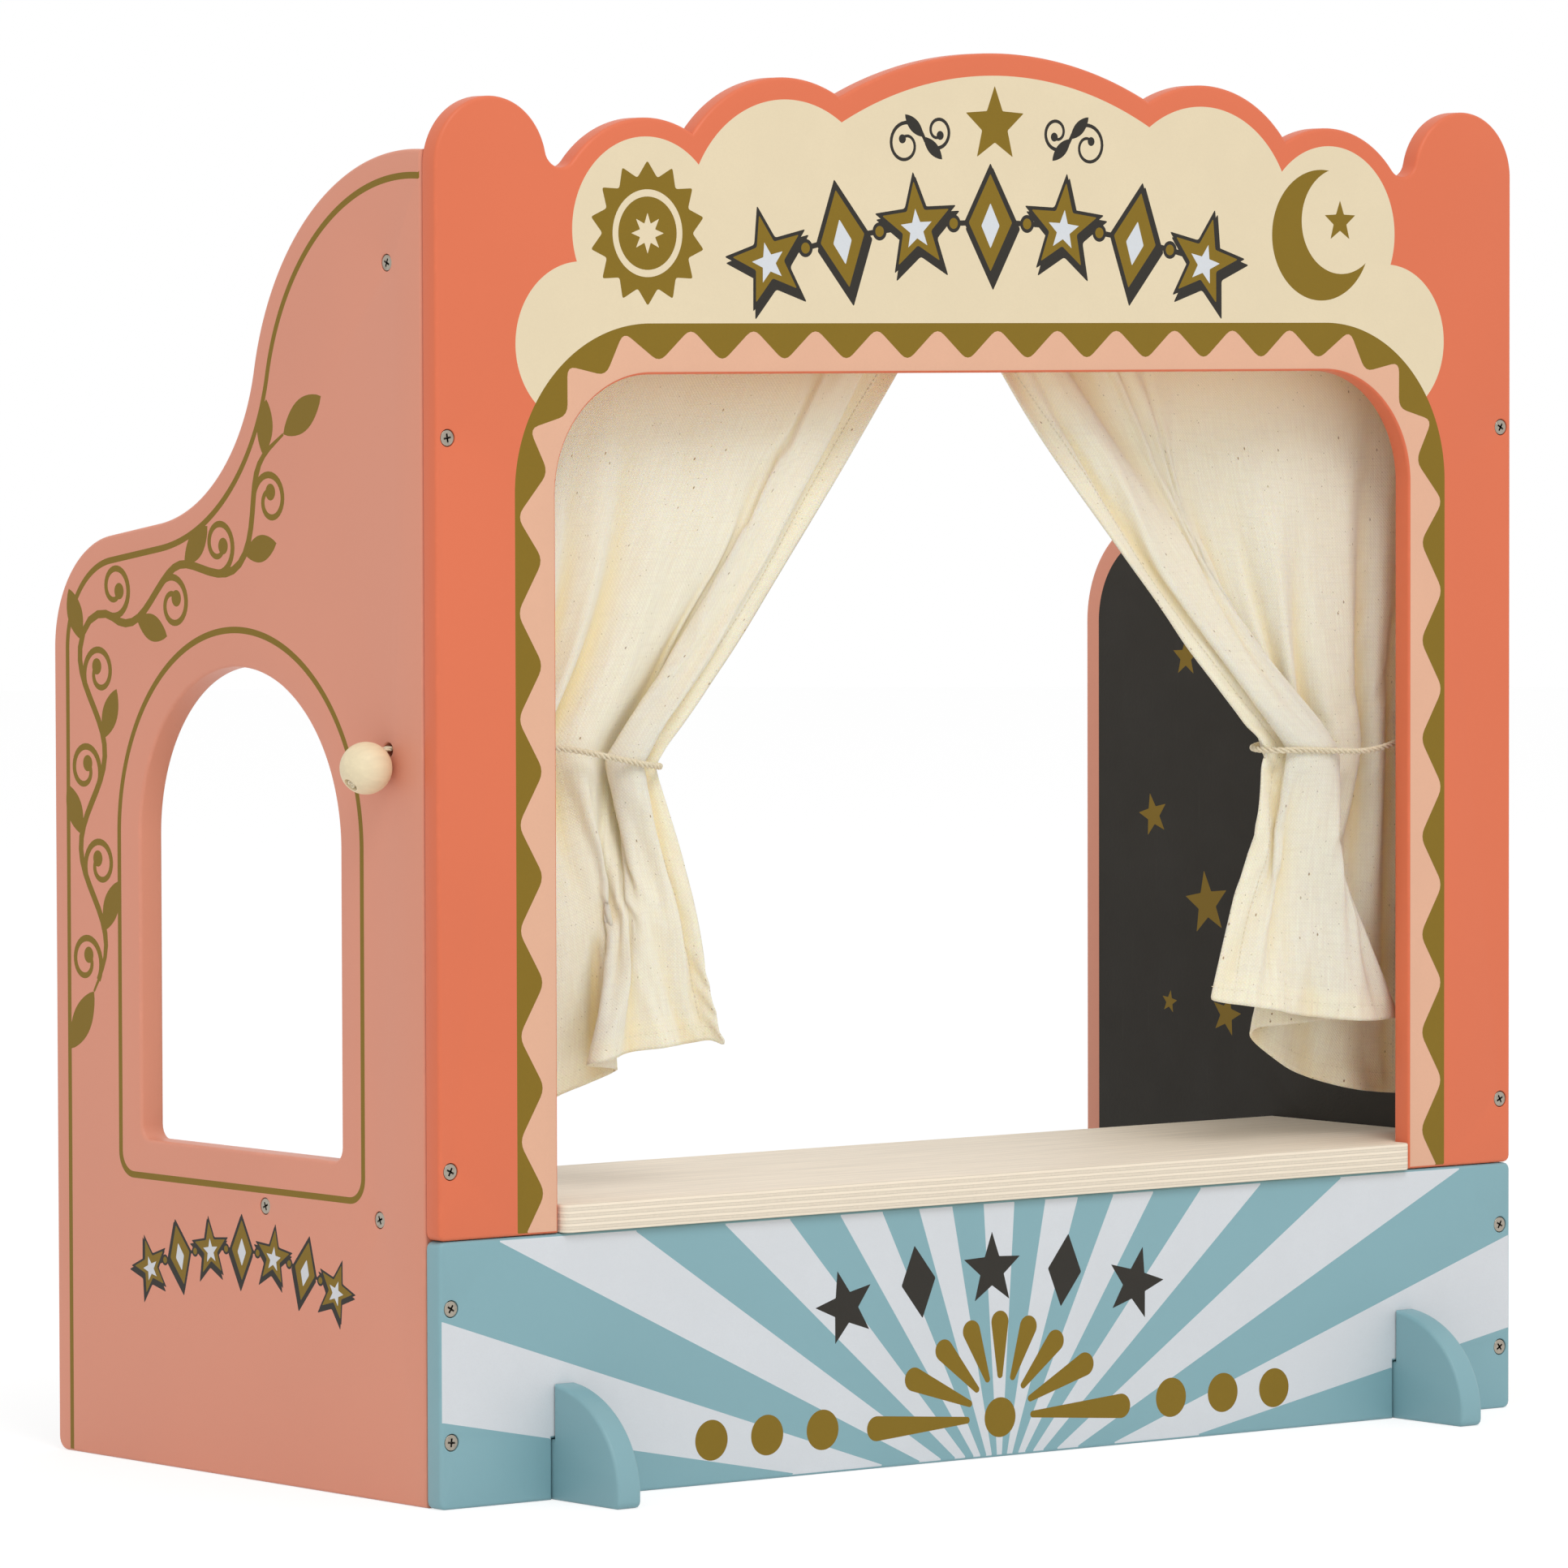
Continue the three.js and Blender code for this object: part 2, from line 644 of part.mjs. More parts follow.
// Points of the inner edge as height and distance in from the side board.
function innerEdge(curtain) {
  const waist = cordHoleHeight - curtain.waistDrop;
  const point = (low, high, [heightShare, widthShare], widest) => new THREE.Vector2(
    low + (high - low) * heightShare, curtain.waistWidth + (widest - curtain.waistWidth) * widthShare);
  const hem = stageTop + curtain.innerHemRise;
  return [
    ...curtain.skirtShares.map((share) => point(hem, waist, share, curtain.hemWidth)),
    ...curtain.drapeShares.map((share) => point(waist, rodHeight, share, curtainTopWidth)),
  ];
}

function smooth(low, high, value) {
  const share = Math.min(1, Math.max(0, (value - low) / (high - low)));
  return share * share * (3 - 2 * share);
}

// How far in the curtain reaches at a height.
function widthAt(curve, height) {
  let low = 0;
  let high = 1;
  for (let i = 0; i < edgeSearchSteps; i += 1) {
    const middle = (low + high) / 2;
    if (curve.getPoint(middle).x < height) low = middle;
    else high = middle;
  }
  return curve.getPoint(low).y;
}

// A point of the cloth. Across runs from the side board to the inner edge, and down from the rear of the
// casing at -1 over the rod at 0 to the hem at 1.
function curtainPoint(curtain, edge, across, down) {
  const wrap = rodRadius + casingClearance + clothThickness / 2;
  if (down < 0) {
    const angle = Math.PI + down * (Math.PI + hookAngle);
    const inside = curtainSideGap + (curtainTopWidth - curtainSideGap) * across;
    return new THREE.Vector3(
      inside, rodBack + wrap * Math.cos(angle), rodHeight + wrap * Math.sin(angle));
  }
  const waist = cordHoleHeight - curtain.waistDrop;
  const outerHem = stageTop + curtain.outerHemRise;
  const innerHem = stageTop + curtain.innerHemRise;
  const hem = outerHem + (innerHem - outerHem) * across ** 2;
  const height = rodHeight + (hem - rodHeight) * down;
  const nearWaist = Math.exp(-(((height - waist) / waistSpread) ** 2));
  const outer = curtainSideGap + waistPinch * nearWaist;
  const inner = widthAt(edge, Math.max(height, innerHem));
  const fromTop = smooth(rodHeight, waist, height);
  const belowWaist = smooth(waist, outerHem, height);
  const depth = topFold * smooth(0, 1, down * drapeRows / 2)
    + (waistFold - topFold) * fromTop + (hemFold - waistFold) * belowWaist;
  const phase = across * foldCount * 2 * Math.PI;
  const front = rodBack - wrap * (1 - fromTop);
  return new THREE.Vector3(
    outer + (inner - outer) * across,
    front + depth * Math.sin(phase),
    height);
}

function makeCurtain(name, sign) {
  const curtain = curtains[name];
  const edge = new THREE.SplineCurve(innerEdge(curtain));
  const rows = casingRows + drapeRows;
  const columns = curtainColumns;
  const downAt = (row) => (row < casingRows ? row / casingRows - 1 : (row - casingRows) / drapeRows);
  const grid = [];
  for (let row = 0; row <= rows; row += 1) {
    grid.push([]);
    for (let column = 0; column <= columns; column += 1) {
      const point = curtainPoint(curtain, edge, column / columns, downAt(row));
      grid[row].push(new THREE.Vector3(sign * (sideInner - point.x), point.y, point.z));
    }
  }
  const slope = (row, column) => {
    const before = grid[Math.max(row - 1, 0)][column];
    const after = grid[Math.min(row + 1, rows)][column];
    const left = grid[row][Math.max(column - 1, 0)];
    const right = grid[row][Math.min(column + 1, columns)];
    return after.clone().sub(before).cross(right.clone().sub(left)).normalize();
  };
  const positions = [];
  for (const face of [-1, 1]) {
    for (let row = 0; row <= rows; row += 1) {
      for (let column = 0; column <= columns; column += 1) {
        const point = grid[row][column].clone();
        point.addScaledVector(slope(row, column), -sign * face * clothThickness / 2);
        positions.push(point.x, point.y, point.z);
      }
    }
  }
  const layer = (rows + 1) * (columns + 1);
  const at = (face, row, column) => face * layer + row * (columns + 1) + column;
  const index = [];
  const quad = (a, b, c, d) => {
    if (sign > 0) index.push(a, c, b, a, d, c);
    else index.push(a, b, c, a, c, d);
  };
  for (let row = 0; row < rows; row += 1) {
    for (let column = 0; column < columns; column += 1) {
      quad(at(0, row, column), at(0, row, column + 1), at(0, row + 1, column + 1), at(0, row + 1, column));
      quad(at(1, row, column), at(1, row + 1, column), at(1, row + 1, column + 1), at(1, row, column + 1));
    }
    quad(at(0, row, 0), at(0, row + 1, 0), at(1, row + 1, 0), at(1, row, 0));
    quad(at(0, row, columns), at(1, row, columns), at(1, row + 1, columns), at(0, row + 1, columns));
  }
  for (let column = 0; column < columns; column += 1) {
    quad(at(0, 0, column), at(1, 0, column), at(1, 0, column + 1), at(0, 0, column + 1));
    quad(at(0, rows, column), at(0, rows, column + 1), at(1, rows, column + 1), at(1, rows, column));
  }
  const geometry = new THREE.BufferGeometry();
  geometry.setAttribute('position', new THREE.Float32BufferAttribute(positions, 3));
  geometry.setIndex(index);
  geometry.computeVertexNormals();
  addPiece(`${name}_curtain`, geometry, paints.calico);
}

makeArch();
makeBase();
makeSides();
makeStage();
makeFeet();
makeRod();
for (const { name, sign } of sides) {
  makeCurtain(name, sign);
  makeTieCord(name, sign);
  makeBead(name, sign);
}
makeScrews();

export default stand;
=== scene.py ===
"""Puppet theater stand: finish, cloth and fittings of a child's painted theater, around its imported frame.

Drawing is done in millimetres in the frame's axes, with Y counted back from the front face of the arch.
in_frame() turns such points into the frame's metres when a mesh is made.
"""
import json
import math
import random

import bmesh
import bpy
import numpy as np
from mathutils import Matrix, Quaternion, Vector
from mathutils.geometry import delaunay_2d_cdt
from mathutils.kdtree import KDTree

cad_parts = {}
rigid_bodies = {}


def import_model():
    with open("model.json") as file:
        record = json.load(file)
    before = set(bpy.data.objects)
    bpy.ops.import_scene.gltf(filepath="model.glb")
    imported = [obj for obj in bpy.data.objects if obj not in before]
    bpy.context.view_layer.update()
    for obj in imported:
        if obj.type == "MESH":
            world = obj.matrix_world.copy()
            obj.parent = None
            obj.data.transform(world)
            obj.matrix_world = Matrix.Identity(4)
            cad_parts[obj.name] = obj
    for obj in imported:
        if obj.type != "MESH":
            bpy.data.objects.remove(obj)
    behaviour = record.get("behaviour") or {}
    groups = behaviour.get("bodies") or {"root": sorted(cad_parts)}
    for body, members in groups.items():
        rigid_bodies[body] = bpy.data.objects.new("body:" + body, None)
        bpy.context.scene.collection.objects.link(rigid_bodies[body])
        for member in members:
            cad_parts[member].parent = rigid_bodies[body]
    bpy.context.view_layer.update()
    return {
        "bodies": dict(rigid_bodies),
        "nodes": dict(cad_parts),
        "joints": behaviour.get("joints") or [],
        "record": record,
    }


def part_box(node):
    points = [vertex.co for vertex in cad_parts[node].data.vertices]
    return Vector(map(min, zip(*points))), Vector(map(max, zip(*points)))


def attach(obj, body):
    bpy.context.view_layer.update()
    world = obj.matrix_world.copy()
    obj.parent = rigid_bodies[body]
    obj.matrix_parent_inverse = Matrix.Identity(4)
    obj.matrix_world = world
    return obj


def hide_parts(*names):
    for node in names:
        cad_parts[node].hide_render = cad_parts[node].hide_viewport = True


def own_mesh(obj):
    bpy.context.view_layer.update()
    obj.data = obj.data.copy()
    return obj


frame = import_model()

bl_info = {
    "name": "Puppet Theater Stand",
    "version": (1, 0, 0),
    "blender": (4, 5, 0),
    "location": "3D View > Sidebar > Theater",
    "description": "Builds the painted boards, curtains, cords and fittings of a child's puppet theater",
    "category": "Add Mesh",
}

MM = 0.001
ARCH_LOW, ARCH_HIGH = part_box("proscenium_arch")
BASE_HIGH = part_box("base_panel")[1]
SIDE_LOW, SIDE_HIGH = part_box("left_side_panel")
SHELF_LOW, SHELF_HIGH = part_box("stage_shelf")
FOOT_LOW, FOOT_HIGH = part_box("left_foot")
ROD_LOW, ROD_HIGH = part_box("curtain_rod")
QUARTER = math.pi / 2
SIDES = (("left", -1), ("right", 1))

# Drawing
ARC_PITCH = 1.6
JOINT_GAP = 0.3
LEAST_SPACING = 0.05
PAINT_TOLERANCE = 0.001
HOLE_PITCH = 0.9
CORD_HOLE_PITCH = 0.7
ROUND_STEPS = 4
SHARP_ANGLE = math.radians(32)


# Sizes and colours that a user would change

def srgb(red, green, blue):
    """A colour picked from a screen, as the linear values that a shader takes."""
    def linear(value):
        share = value / 255
        return share / 12.92 if share <= 0.04045 else ((share + 0.055) / 1.055) ** 2.4
    return linear(red), linear(green), linear(blue)


def length(label, description, default):
    return bpy.props.FloatProperty(
        name=label, description=description, default=default, min=0.0, unit="LENGTH")


def angle(label, description, degrees):
    return bpy.props.FloatProperty(
        name=label, description=description, default=math.radians(degrees), subtype="ANGLE")


def count(label, description, default):
    return bpy.props.IntProperty(name=label, description=description, default=default, min=1)


def colour(label, description, *screen):
    return bpy.props.FloatVectorProperty(
        name=label, description=description, default=srgb(*screen), subtype="COLOR", min=0.0, max=1.0)


class BoardSizes(bpy.types.PropertyGroup):
    width: length("Width", "Across the front boards", ARCH_HIGH.x - ARCH_LOW.x)
    front_thickness: length("Front thickness", "Arch and base board", ARCH_HIGH.y - ARCH_LOW.y)
    side_thickness: length("Side thickness", "Side boards", SIDE_HIGH.x - SIDE_LOW.x)
    side_reach: length("Side reach", "Front face to the rear of the sides", SIDE_HIGH.y - ARCH_LOW.y)
    side_front: length("Side front", "Front face to the front edge of the sides", SIDE_LOW.y - ARCH_LOW.y)
    side_top: length("Side top", "Highest point of the side boards", SIDE_HIGH.z)
    edge_round: length("Edge round", "Softened edges of painted boards", 1.6 * MM)
    corner: length("Board corner", "Round at the corners of the front boards", 3 * MM)
    base_height: length("Base height", "Base board", BASE_HIGH.z)
    arch_bottom: length("Arch foot", "Underside of the arch", ARCH_LOW.z)
    crown_height: length("Crown height", "Top of the arch", ARCH_HIGH.z)
    crown_radius: length("Crown radius", "Middle scallop", 197.6 * MM)
    post_width: length("Post width", "Board beside the opening", 61.7 * MM)
    post_radius: length("Post radius", "Round top of each post", 29 * MM)
    post_drop: length("Post drop", "Top of the post below the crown", 22 * MM)
    outer_inward: length("Outer scallop place", "From the post", 81 * MM)
    outer_drop: length("Outer scallop drop", "Below the crown", 30 * MM)
    outer_radius: length("Outer scallop radius", "Scallop beside the post", 50 * MM)
    inner_inward: length("Inner scallop place", "From the outer scallop", 73.5 * MM)
    inner_drop: length("Inner scallop drop", "Below the crown", 12.1 * MM)
    inner_radius: length("Inner scallop radius", "Scallop beside the crown", 62 * MM)
    valley_fillet: length("Valley fillet", "Hollow beside the post", 8 * MM)
    opening_top: length("Opening top", "Top of the stage opening", 470.8 * MM)
    opening_corner: length("Opening corner", "Round corners of the opening", 50 * MM)
    ogee_top: length("Ogee top radius", "Round behind the arch", 117.7 * MM)
    ogee_meet: angle("Ogee meeting angle", "How far round the top the hollow starts", 13)
    ogee_hollow: length("Ogee hollow radius", "Hollow of the side boards", 86.8 * MM)
    ogee_slope: angle("Ogee slope", "Fall of the straight run", 8.5)
    ogee_run: length("Ogee run", "Straight run behind the hollow", 38.5 * MM)
    ogee_shoulder: length("Ogee shoulder radius", "Rear shoulder", 50.5 * MM)
    heel: length("Heel radius", "Lower rear corner of the sides", 6 * MM)
    window_front: length("Window front margin", "From the front face of the arch", 70 * MM)
    window_rear: length("Window rear margin", "From the rear edge of the side", 66 * MM)
    window_rise: length("Window sill rise", "Above the middle of the stage", 22.6 * MM)
    window_headroom: length("Window headroom", "Below the hollow of the side", 59.3 * MM)
    window_corner: length("Window corner", "Lower corners of the window", 6 * MM)
    shelf_top: length("Stage top", "Top of the plywood stage", SHELF_HIGH.z)
    shelf_thickness: length("Stage thickness", "Plywood stage", SHELF_HIGH.z - SHELF_LOW.z)
    shelf_reach: length("Stage reach", "Rear edge of the stage", SHELF_HIGH.y - ARCH_LOW.y)
    shelf_proud: length("Stage tongue", "Stage in front of the arch", ARCH_LOW.y - SHELF_LOW.y)
    tongue_gap: length("Tongue gap", "Between the stage and the opening", 1 * MM)
    tongue_corner: length("Tongue corner", "Round corners of the stage's tongue", 4 * MM)
    shelf_round: length("Stage edge round", "Sanded edges of the stage", 0.8 * MM)
    foot_thickness: length("Foot thickness", "Cross-lapped feet", FOOT_HIGH.x - FOOT_LOW.x)
    foot_inset: length("Foot inset", "Middle of a foot from the end of the base", 64.3 * MM)
    foot_reach: length("Foot reach", "In front of the base board", ARCH_LOW.y - FOOT_LOW.y)
    foot_height: length("Foot height", "Cross-lapped feet", FOOT_HIGH.z)
    foot_upright: length("Foot upright", "Plain edge under the round", 5.4 * MM)
    foot_lap: length("Foot lap", "Height at which foot and board cross", 26 * MM)
    slot_gap: length("Slot clearance", "Between foot and slot", 0.3 * MM)


class FittingSizes(bpy.types.PropertyGroup):
    rod_radius: length("Rod radius", "Curtain rod", (ROD_HIGH.z - ROD_LOW.z) / 2)
    rod_round: length("Rod round", "Broken edges of the rod's ends", 0.8 * MM)
    rod_height: length("Rod height", "Middle of the rod", (ROD_HIGH.z + ROD_LOW.z) / 2)
    rod_back: length(
        "Rod back", "Middle of the rod behind the front face", (ROD_HIGH.y + ROD_LOW.y) / 2 - ARCH_LOW.y)
    arch_screw_drop: length("Upper arch screws", "Below the top of the opening", 25.8 * MM)
    arch_screw_rise: length("Lower arch screws", "Above the foot of the arch", 28.8 * MM)
    base_screw_inset: length("Base screws", "From the top and the foot of the base board", 28 * MM)
    stage_screw_front: length("Front stage screws", "Behind the front face of the arch", 42.9 * MM)
    stage_screw_rear: length("Rear stage screws", "From the rear edge of the stage", 23.7 * MM)
    head_radius: length("Screw head radius", "Countersunk screws", 3.4 * MM)
    head_depth: length("Screw head depth", "Countersunk screws", 2.2 * MM)
    head_sink: length("Screw head sink", "Below the board's face", 0.4 * MM)
    head_round: length("Screw head round", "Edge of the head", 0.35 * MM)
    recess_arm: length("Recess arm", "Reach of the cross recess", 1.9 * MM)
    recess_slot: length("Recess slot", "Half the width of its slots", 0.42 * MM)
    recess_depth: length("Recess depth", "Cross recess of the screws", 1.3 * MM)
    point: length("Screw point", "Length of the point", 2.5 * MM)
    shank_radius: length("Screw shank radius", "Countersunk screws", 1.6 * MM)
    screw_length: length("Screw length", "Countersunk screws", 28 * MM)
    screw_gap: length("Screw clearance", "Round the head", 0.3 * MM)
    hole_round: length("Hole round", "Paint drawn into the screw holes", 0.45 * MM)
    cord_radius: length("Cord radius", "Twisted cotton cord", 1.1 * MM)
    cord_lay: length("Cord lay", "Length of one twist", 9 * MM)
    strand_gap: length("Strand gap", "Between the two strands in the bead", 0.4 * MM)
    cord_hole: length("Cord hole radius", "Hole in each side board", 3 * MM)
    cord_hole_round: length("Cord hole round", "Softened mouth of the cord hole", 0.8 * MM)
    cord_height: length("Cord height", "Middle of the cord hole", 315 * MM)
    bead_radius: length("Bead radius", "Pull beads", 11 * MM)
    bead_tilt: angle("Bead tilt", "Bore of the bead from the level", 41)
    knot_seat: length("Knot seat radius", "Recess for the knot", 3.1 * MM)
    knot_seat_depth: length("Knot seat depth", "Recess for the knot", 4 * MM)
    bead_travel: length("Bead travel", "How far a bead pulls out", 25 * MM)


class CurtainSizes(bpy.types.PropertyGroup):
    cut_width: length("Cut width", "Flat width of one curtain", 286 * MM)
    cut_drop: length("Cut drop", "From the middle of the rod to the hem", 395 * MM)
    hem: length("Hem", "Depth of the stitched hem", 12 * MM)
    thickness: length("Cloth thickness", "Calico", 0.5 * MM)
    thread_pitch: length("Thread pitch", "Between two threads of the weave", 0.8 * MM)
    stitch: length("Stitch length", "Hem stitches", 2.4 * MM)
    thread: length("Thread thickness", "Hem stitches", 0.42 * MM)
    columns: count("Columns", "Cloth mesh across", 84)
    rows: count("Rows", "Cloth mesh down", 104)


class Colours(bpy.types.PropertyGroup):
    coral: colour("Coral", "Arch", 224, 116, 80)
    salmon: colour("Salmon", "Side boards", 223, 150, 125)
    pink: colour("Pink", "Inner band of the arch", 230, 180, 151)
    gold: colour("Gold", "Printed gold", 135, 109, 33)
    cream: colour("Cream", "Cloud on the arch", 231, 215, 182)
    white: colour("White", "Rays of the base board", 216, 220, 224)
    blue: colour("Blue", "Base board and feet", 134, 174, 182)
    charcoal: colour("Charcoal", "Inner faces of the sides", 53, 50, 45)
    veneer: colour("Veneer", "Stage top", 250, 236, 214)
    dowel: colour("Dowel", "Curtain rod", 222, 202, 164)
    beech: colour("Beech", "Beads", 240, 224, 187)
    calico: colour("Calico", "Curtains", 255, 243, 218)
    # Painted shadow: the warm tone of the arch's shadow on the tops of the curtains.
    header_shade_colour: colour("Amber", "Curtains where they gather", 255, 226, 190)
    # Painted shade: the warm, darker tone of the curtains deep in their folds.
    fold_shade_colour: colour("Honey", "Curtains deep in their folds", 242, 210, 152)
    husk: colour("Husk", "Flecks in the calico", 128, 96, 58)
    cotton: colour("Cotton", "Cords and thread", 238, 226, 196)
    nickel: colour("Nickel", "Screws", 168, 160, 147)
    # Painted shade: the cross recess of the screws coloured dark where shade falls in it.
    tarnish: colour("Tarnish", "Cross recess of the screws", 74, 70, 64)
    paper: colour("Paper", "Floor and backdrop", 248, 248, 248)


class Millimetres:
    """Reads a group of sizes in millimetres; angles and counts come as they are."""

    def __init__(self, group):
        self._group = group

    def __getattr__(self, name):
        value = getattr(self._group, name)
        unit = self._group.bl_rna.properties[name].unit
        return value / MM if unit == "LENGTH" else value


def boards():
    return Millimetres(bpy.context.scene.theater_boards)


def fittings():
    return Millimetres(bpy.context.scene.theater_fittings)


def curtain_sizes():
    return Millimetres(bpy.context.scene.theater_curtains)


def colours():
    return bpy.context.scene.theater_colours


def give(target, settings):
    """Sets several properties of a node, a light or a modifier."""
    for name, value in settings.items():
        setattr(target, name, value)


# Shader maths

class Wire:
    """A socket whose sums and products add the Math nodes that work them out."""

    def __init__(self, nodes, socket):
        self.nodes = nodes
        self.socket = socket

    def _maths(self, operation, *values):
        return self.nodes.wire(0, "ShaderNodeMath", {"operation": operation}, dict(enumerate(values)))

    def __add__(self, other):
        return self._maths("ADD", self, other)

    def __sub__(self, other):
        return self._maths("SUBTRACT", self, other)

    def __rsub__(self, other):
        return self._maths("SUBTRACT", other, self)

    def __mul__(self, other):
        return self._maths("MULTIPLY", self, other)

    def __truediv__(self, other):
        return self._maths("DIVIDE", self, other)

    __radd__ = __add__
    __rmul__ = __mul__

    def sine(self):
        return self._maths("SINE", self)

    def magnitude(self):
        return self._maths("ABSOLUTE", self)

    def part(self):
        return self._maths("FRACT", self)

    def most(self, other):
        return self._maths("MAXIMUM", self, other)

    def over(self, low, high):
        """0 below low, 1 above high, and smooth between them."""
        return self.nodes.wire(
            "Result", "ShaderNodeMapRange", {"interpolation_type": "SMOOTHSTEP"},
            {"Value": self, "From Min": low, "From Max": high})


class Nodes:
    """The nodes of one tree."""

    def __init__(self, tree):
        self.tree = tree

    def node(self, kind, settings=None, inputs=None):
        """Adds a node, with its settings first and then the values or links of its sockets."""
        made = self.tree.nodes.new(kind)
        give(made, settings or {})
        for name, value in (inputs or {}).items():
            self.feed(made.inputs[name], value)
        return made

    def feed(self, socket, value):
        if isinstance(value, Wire):
            self.tree.links.new(value.socket, socket)
        else:
            socket.default_value = value

    def wire(self, output, kind, settings=None, inputs=None):
        """Adds a node and gives one of its outputs."""
        return Wire(self, self.node(kind, settings, inputs).outputs[output])


class Finish(Nodes):
    """One material and the nodes that make it."""

    def __init__(self, name, colour):
        self.colour = colour
        self.material = bpy.data.materials.new(name)
        self.material.use_nodes = True
        super().__init__(self.material.node_tree)
        self.tree.nodes.clear()
        self.shader = self.node("ShaderNodeBsdfPrincipled")
        output = self.node("ShaderNodeOutputMaterial")
        self.tree.links.new(self.shader.outputs[0], output.inputs["Surface"])
        self.place = self.wire("Object", "ShaderNodeTexCoord")

    def set(self, **values):
        """Sets the shader's sockets, with underscores for the spaces in their names."""
        for name, value in values.items():
            self.feed(self.shader.inputs[name.replace("_", " ")], value)

    def tint(self, colour, strength=1.0):
        return (*(min(1.0, channel * strength) for channel in colour), 1.0)

    def mix(self, factor, below, above):
        """Mixes two colours; a number is the finish's own colour at that strength."""
        below, above = (
            self.tint(self.colour, side) if isinstance(side, float) else side for side in (below, above))
        node = self.node("ShaderNodeMix", {"data_type": "RGBA"}, {0: factor, 6: below, 7: above})
        return Wire(self, node.outputs[2])

    def stretched(self, x, y, z, vector=None):
        node = self.node("ShaderNodeMapping", {}, {"Vector": vector or self.place, "Scale": (x, y, z)})
        return Wire(self, node.outputs[0])

    def noise(self, scale, detail=2.0, roughness=0.5, vector=None):
        node = self.node("ShaderNodeTexNoise", {}, {
            "Vector": vector or self.place, "Scale": scale, "Detail": detail, "Roughness": roughness})
        return Wire(self, node.outputs[0])

    def cells(self, scale, vector=None):
        """The distance to the nearest of scattered points, and a random colour for each point."""
        node = self.node("ShaderNodeTexVoronoi", {}, {"Vector": vector or self.place, "Scale": scale})
        return Wire(self, node.outputs["Distance"]), Wire(self, node.outputs["Color"])

    def axes(self, vector=None):
        node = self.node("ShaderNodeSeparateXYZ", {}, {0: vector or self.place})
        return [Wire(self, node.outputs[i]) for i in range(3)]

    def uv(self):
        return Wire(self, self.node("ShaderNodeUVMap").outputs[0])

    def attribute(self, name):
        node = self.node("ShaderNodeAttribute", {"attribute_name": name})
        return Wire(self, node.outputs["Fac"])

    def bump(self, height, distance, strength=1.0, below=None):
        inputs = {"Height": height, "Distance": distance, "Strength": strength}
        if below is not None:
            inputs["Normal"] = below
        return Wire(self, self.node("ShaderNodeBump", {}, inputs).outputs[0])


# Finishes

def lacquer(name, colour):
    """Sprayed satin paint: cloudy by a hair, with a faint orange peel, and its rounded edges painted
    lighter, partly as rubbed wear and partly as a painted highlight.
    """
    finish = Finish(name, colour)
    cloud = finish.noise(7.0, 3.0).over(0.3, 0.7)
    body = finish.mix(cloud, 0.98, 1.015)
    # Rounded edges painted lighter in patches: rubbed wear, and also a painted highlight where light
    # catches the rounds.
    rubbed = finish.attribute("rounded_edge") * finish.noise(60.0, 4.0, 0.7).over(0.45, 0.75)
    worn_and_highlit = finish.mix(rubbed * 0.35, body, 1.22)
    specks, _ = finish.cells(160.0)
    dusty = finish.mix((1 - specks.over(0.02, 0.06)) * 0.25, worn_and_highlit, 0.8)
    peel = finish.noise(900.0, 2.0, 0.4)
    sweep = finish.noise(45.0, 2.0)
    finish.set(
        Base_Color=dusty,
        Roughness=finish.noise(14.0, 3.0) * 0.14 + 0.35,
        Specular_IOR_Level=0.28,
        Normal=finish.bump(peel * 0.35 + sweep, 0.00012, 0.55))


def ink(name, colour):
    """A screen print on the lacquer, a little uneven where the ink lies thin."""
    finish = Finish(name, colour)
    thin = finish.noise(26.0, 5.0, 0.65).over(0.35, 0.75)
    grain = finish.noise(1500.0, 1.0).over(0.4, 0.7)
    body = finish.mix(thin, 0.985, 1.015)
    finish.set(
        Base_Color=finish.mix(grain * 0.3, body, 0.95),
        Roughness=finish.noise(18.0, 2.0) * 0.12 + 0.34,
        Specular_IOR_Level=0.14,
        Normal=finish.bump(finish.noise(45.0, 2.0) + grain * 0.2, 0.0001, 0.5))


def chalk_paint(name, colour):
    """Matt dark paint, rubbed pale here and there."""
    finish = Finish(name, colour)
    rubbed = finish.noise(9.0, 5.0, 0.6).over(0.42, 0.8)
    scratch = finish.noise(30.0, 3.0, 0.5, finish.stretched(1.0, 9.0, 1.0)).over(0.62, 0.8)
    finish.set(
        Base_Color=finish.mix(rubbed * 0.5 + scratch * 0.25, 0.92, 1.3),
        Roughness=finish.noise(40.0, 3.0) * 0.16 + 0.6,
        Specular_IOR_Level=0.2,
        Normal=finish.bump(finish.noise(700.0, 3.0), 0.00015, 0.6))


# How fast each wood's grain changes along X, Y and Z
STAGE_GRAIN = (14.0, 420.0, 420.0)
ROD_GRAIN = (9.0, 520.0, 520.0)
BEAD_GRAIN = (60.0, 420.0, 420.0)
BEAD_FIGURE_SHARE = 0.4
PORE_SCALE = 2.2
PLIES = 9


def along_grain(finish, x, y, z):
    """Streaks of wood that run where the scale is small."""
    drift = finish.noise(3.0, 2.0)
    vector = finish.stretched(x, y, z)
    fibres = finish.noise(1.0, 5.0, 0.62, vector)
    figure = (finish.noise(0.12, 2.0, 0.5, vector) * 22.0 + drift * 3.0).sine()
    return fibres, figure.magnitude()


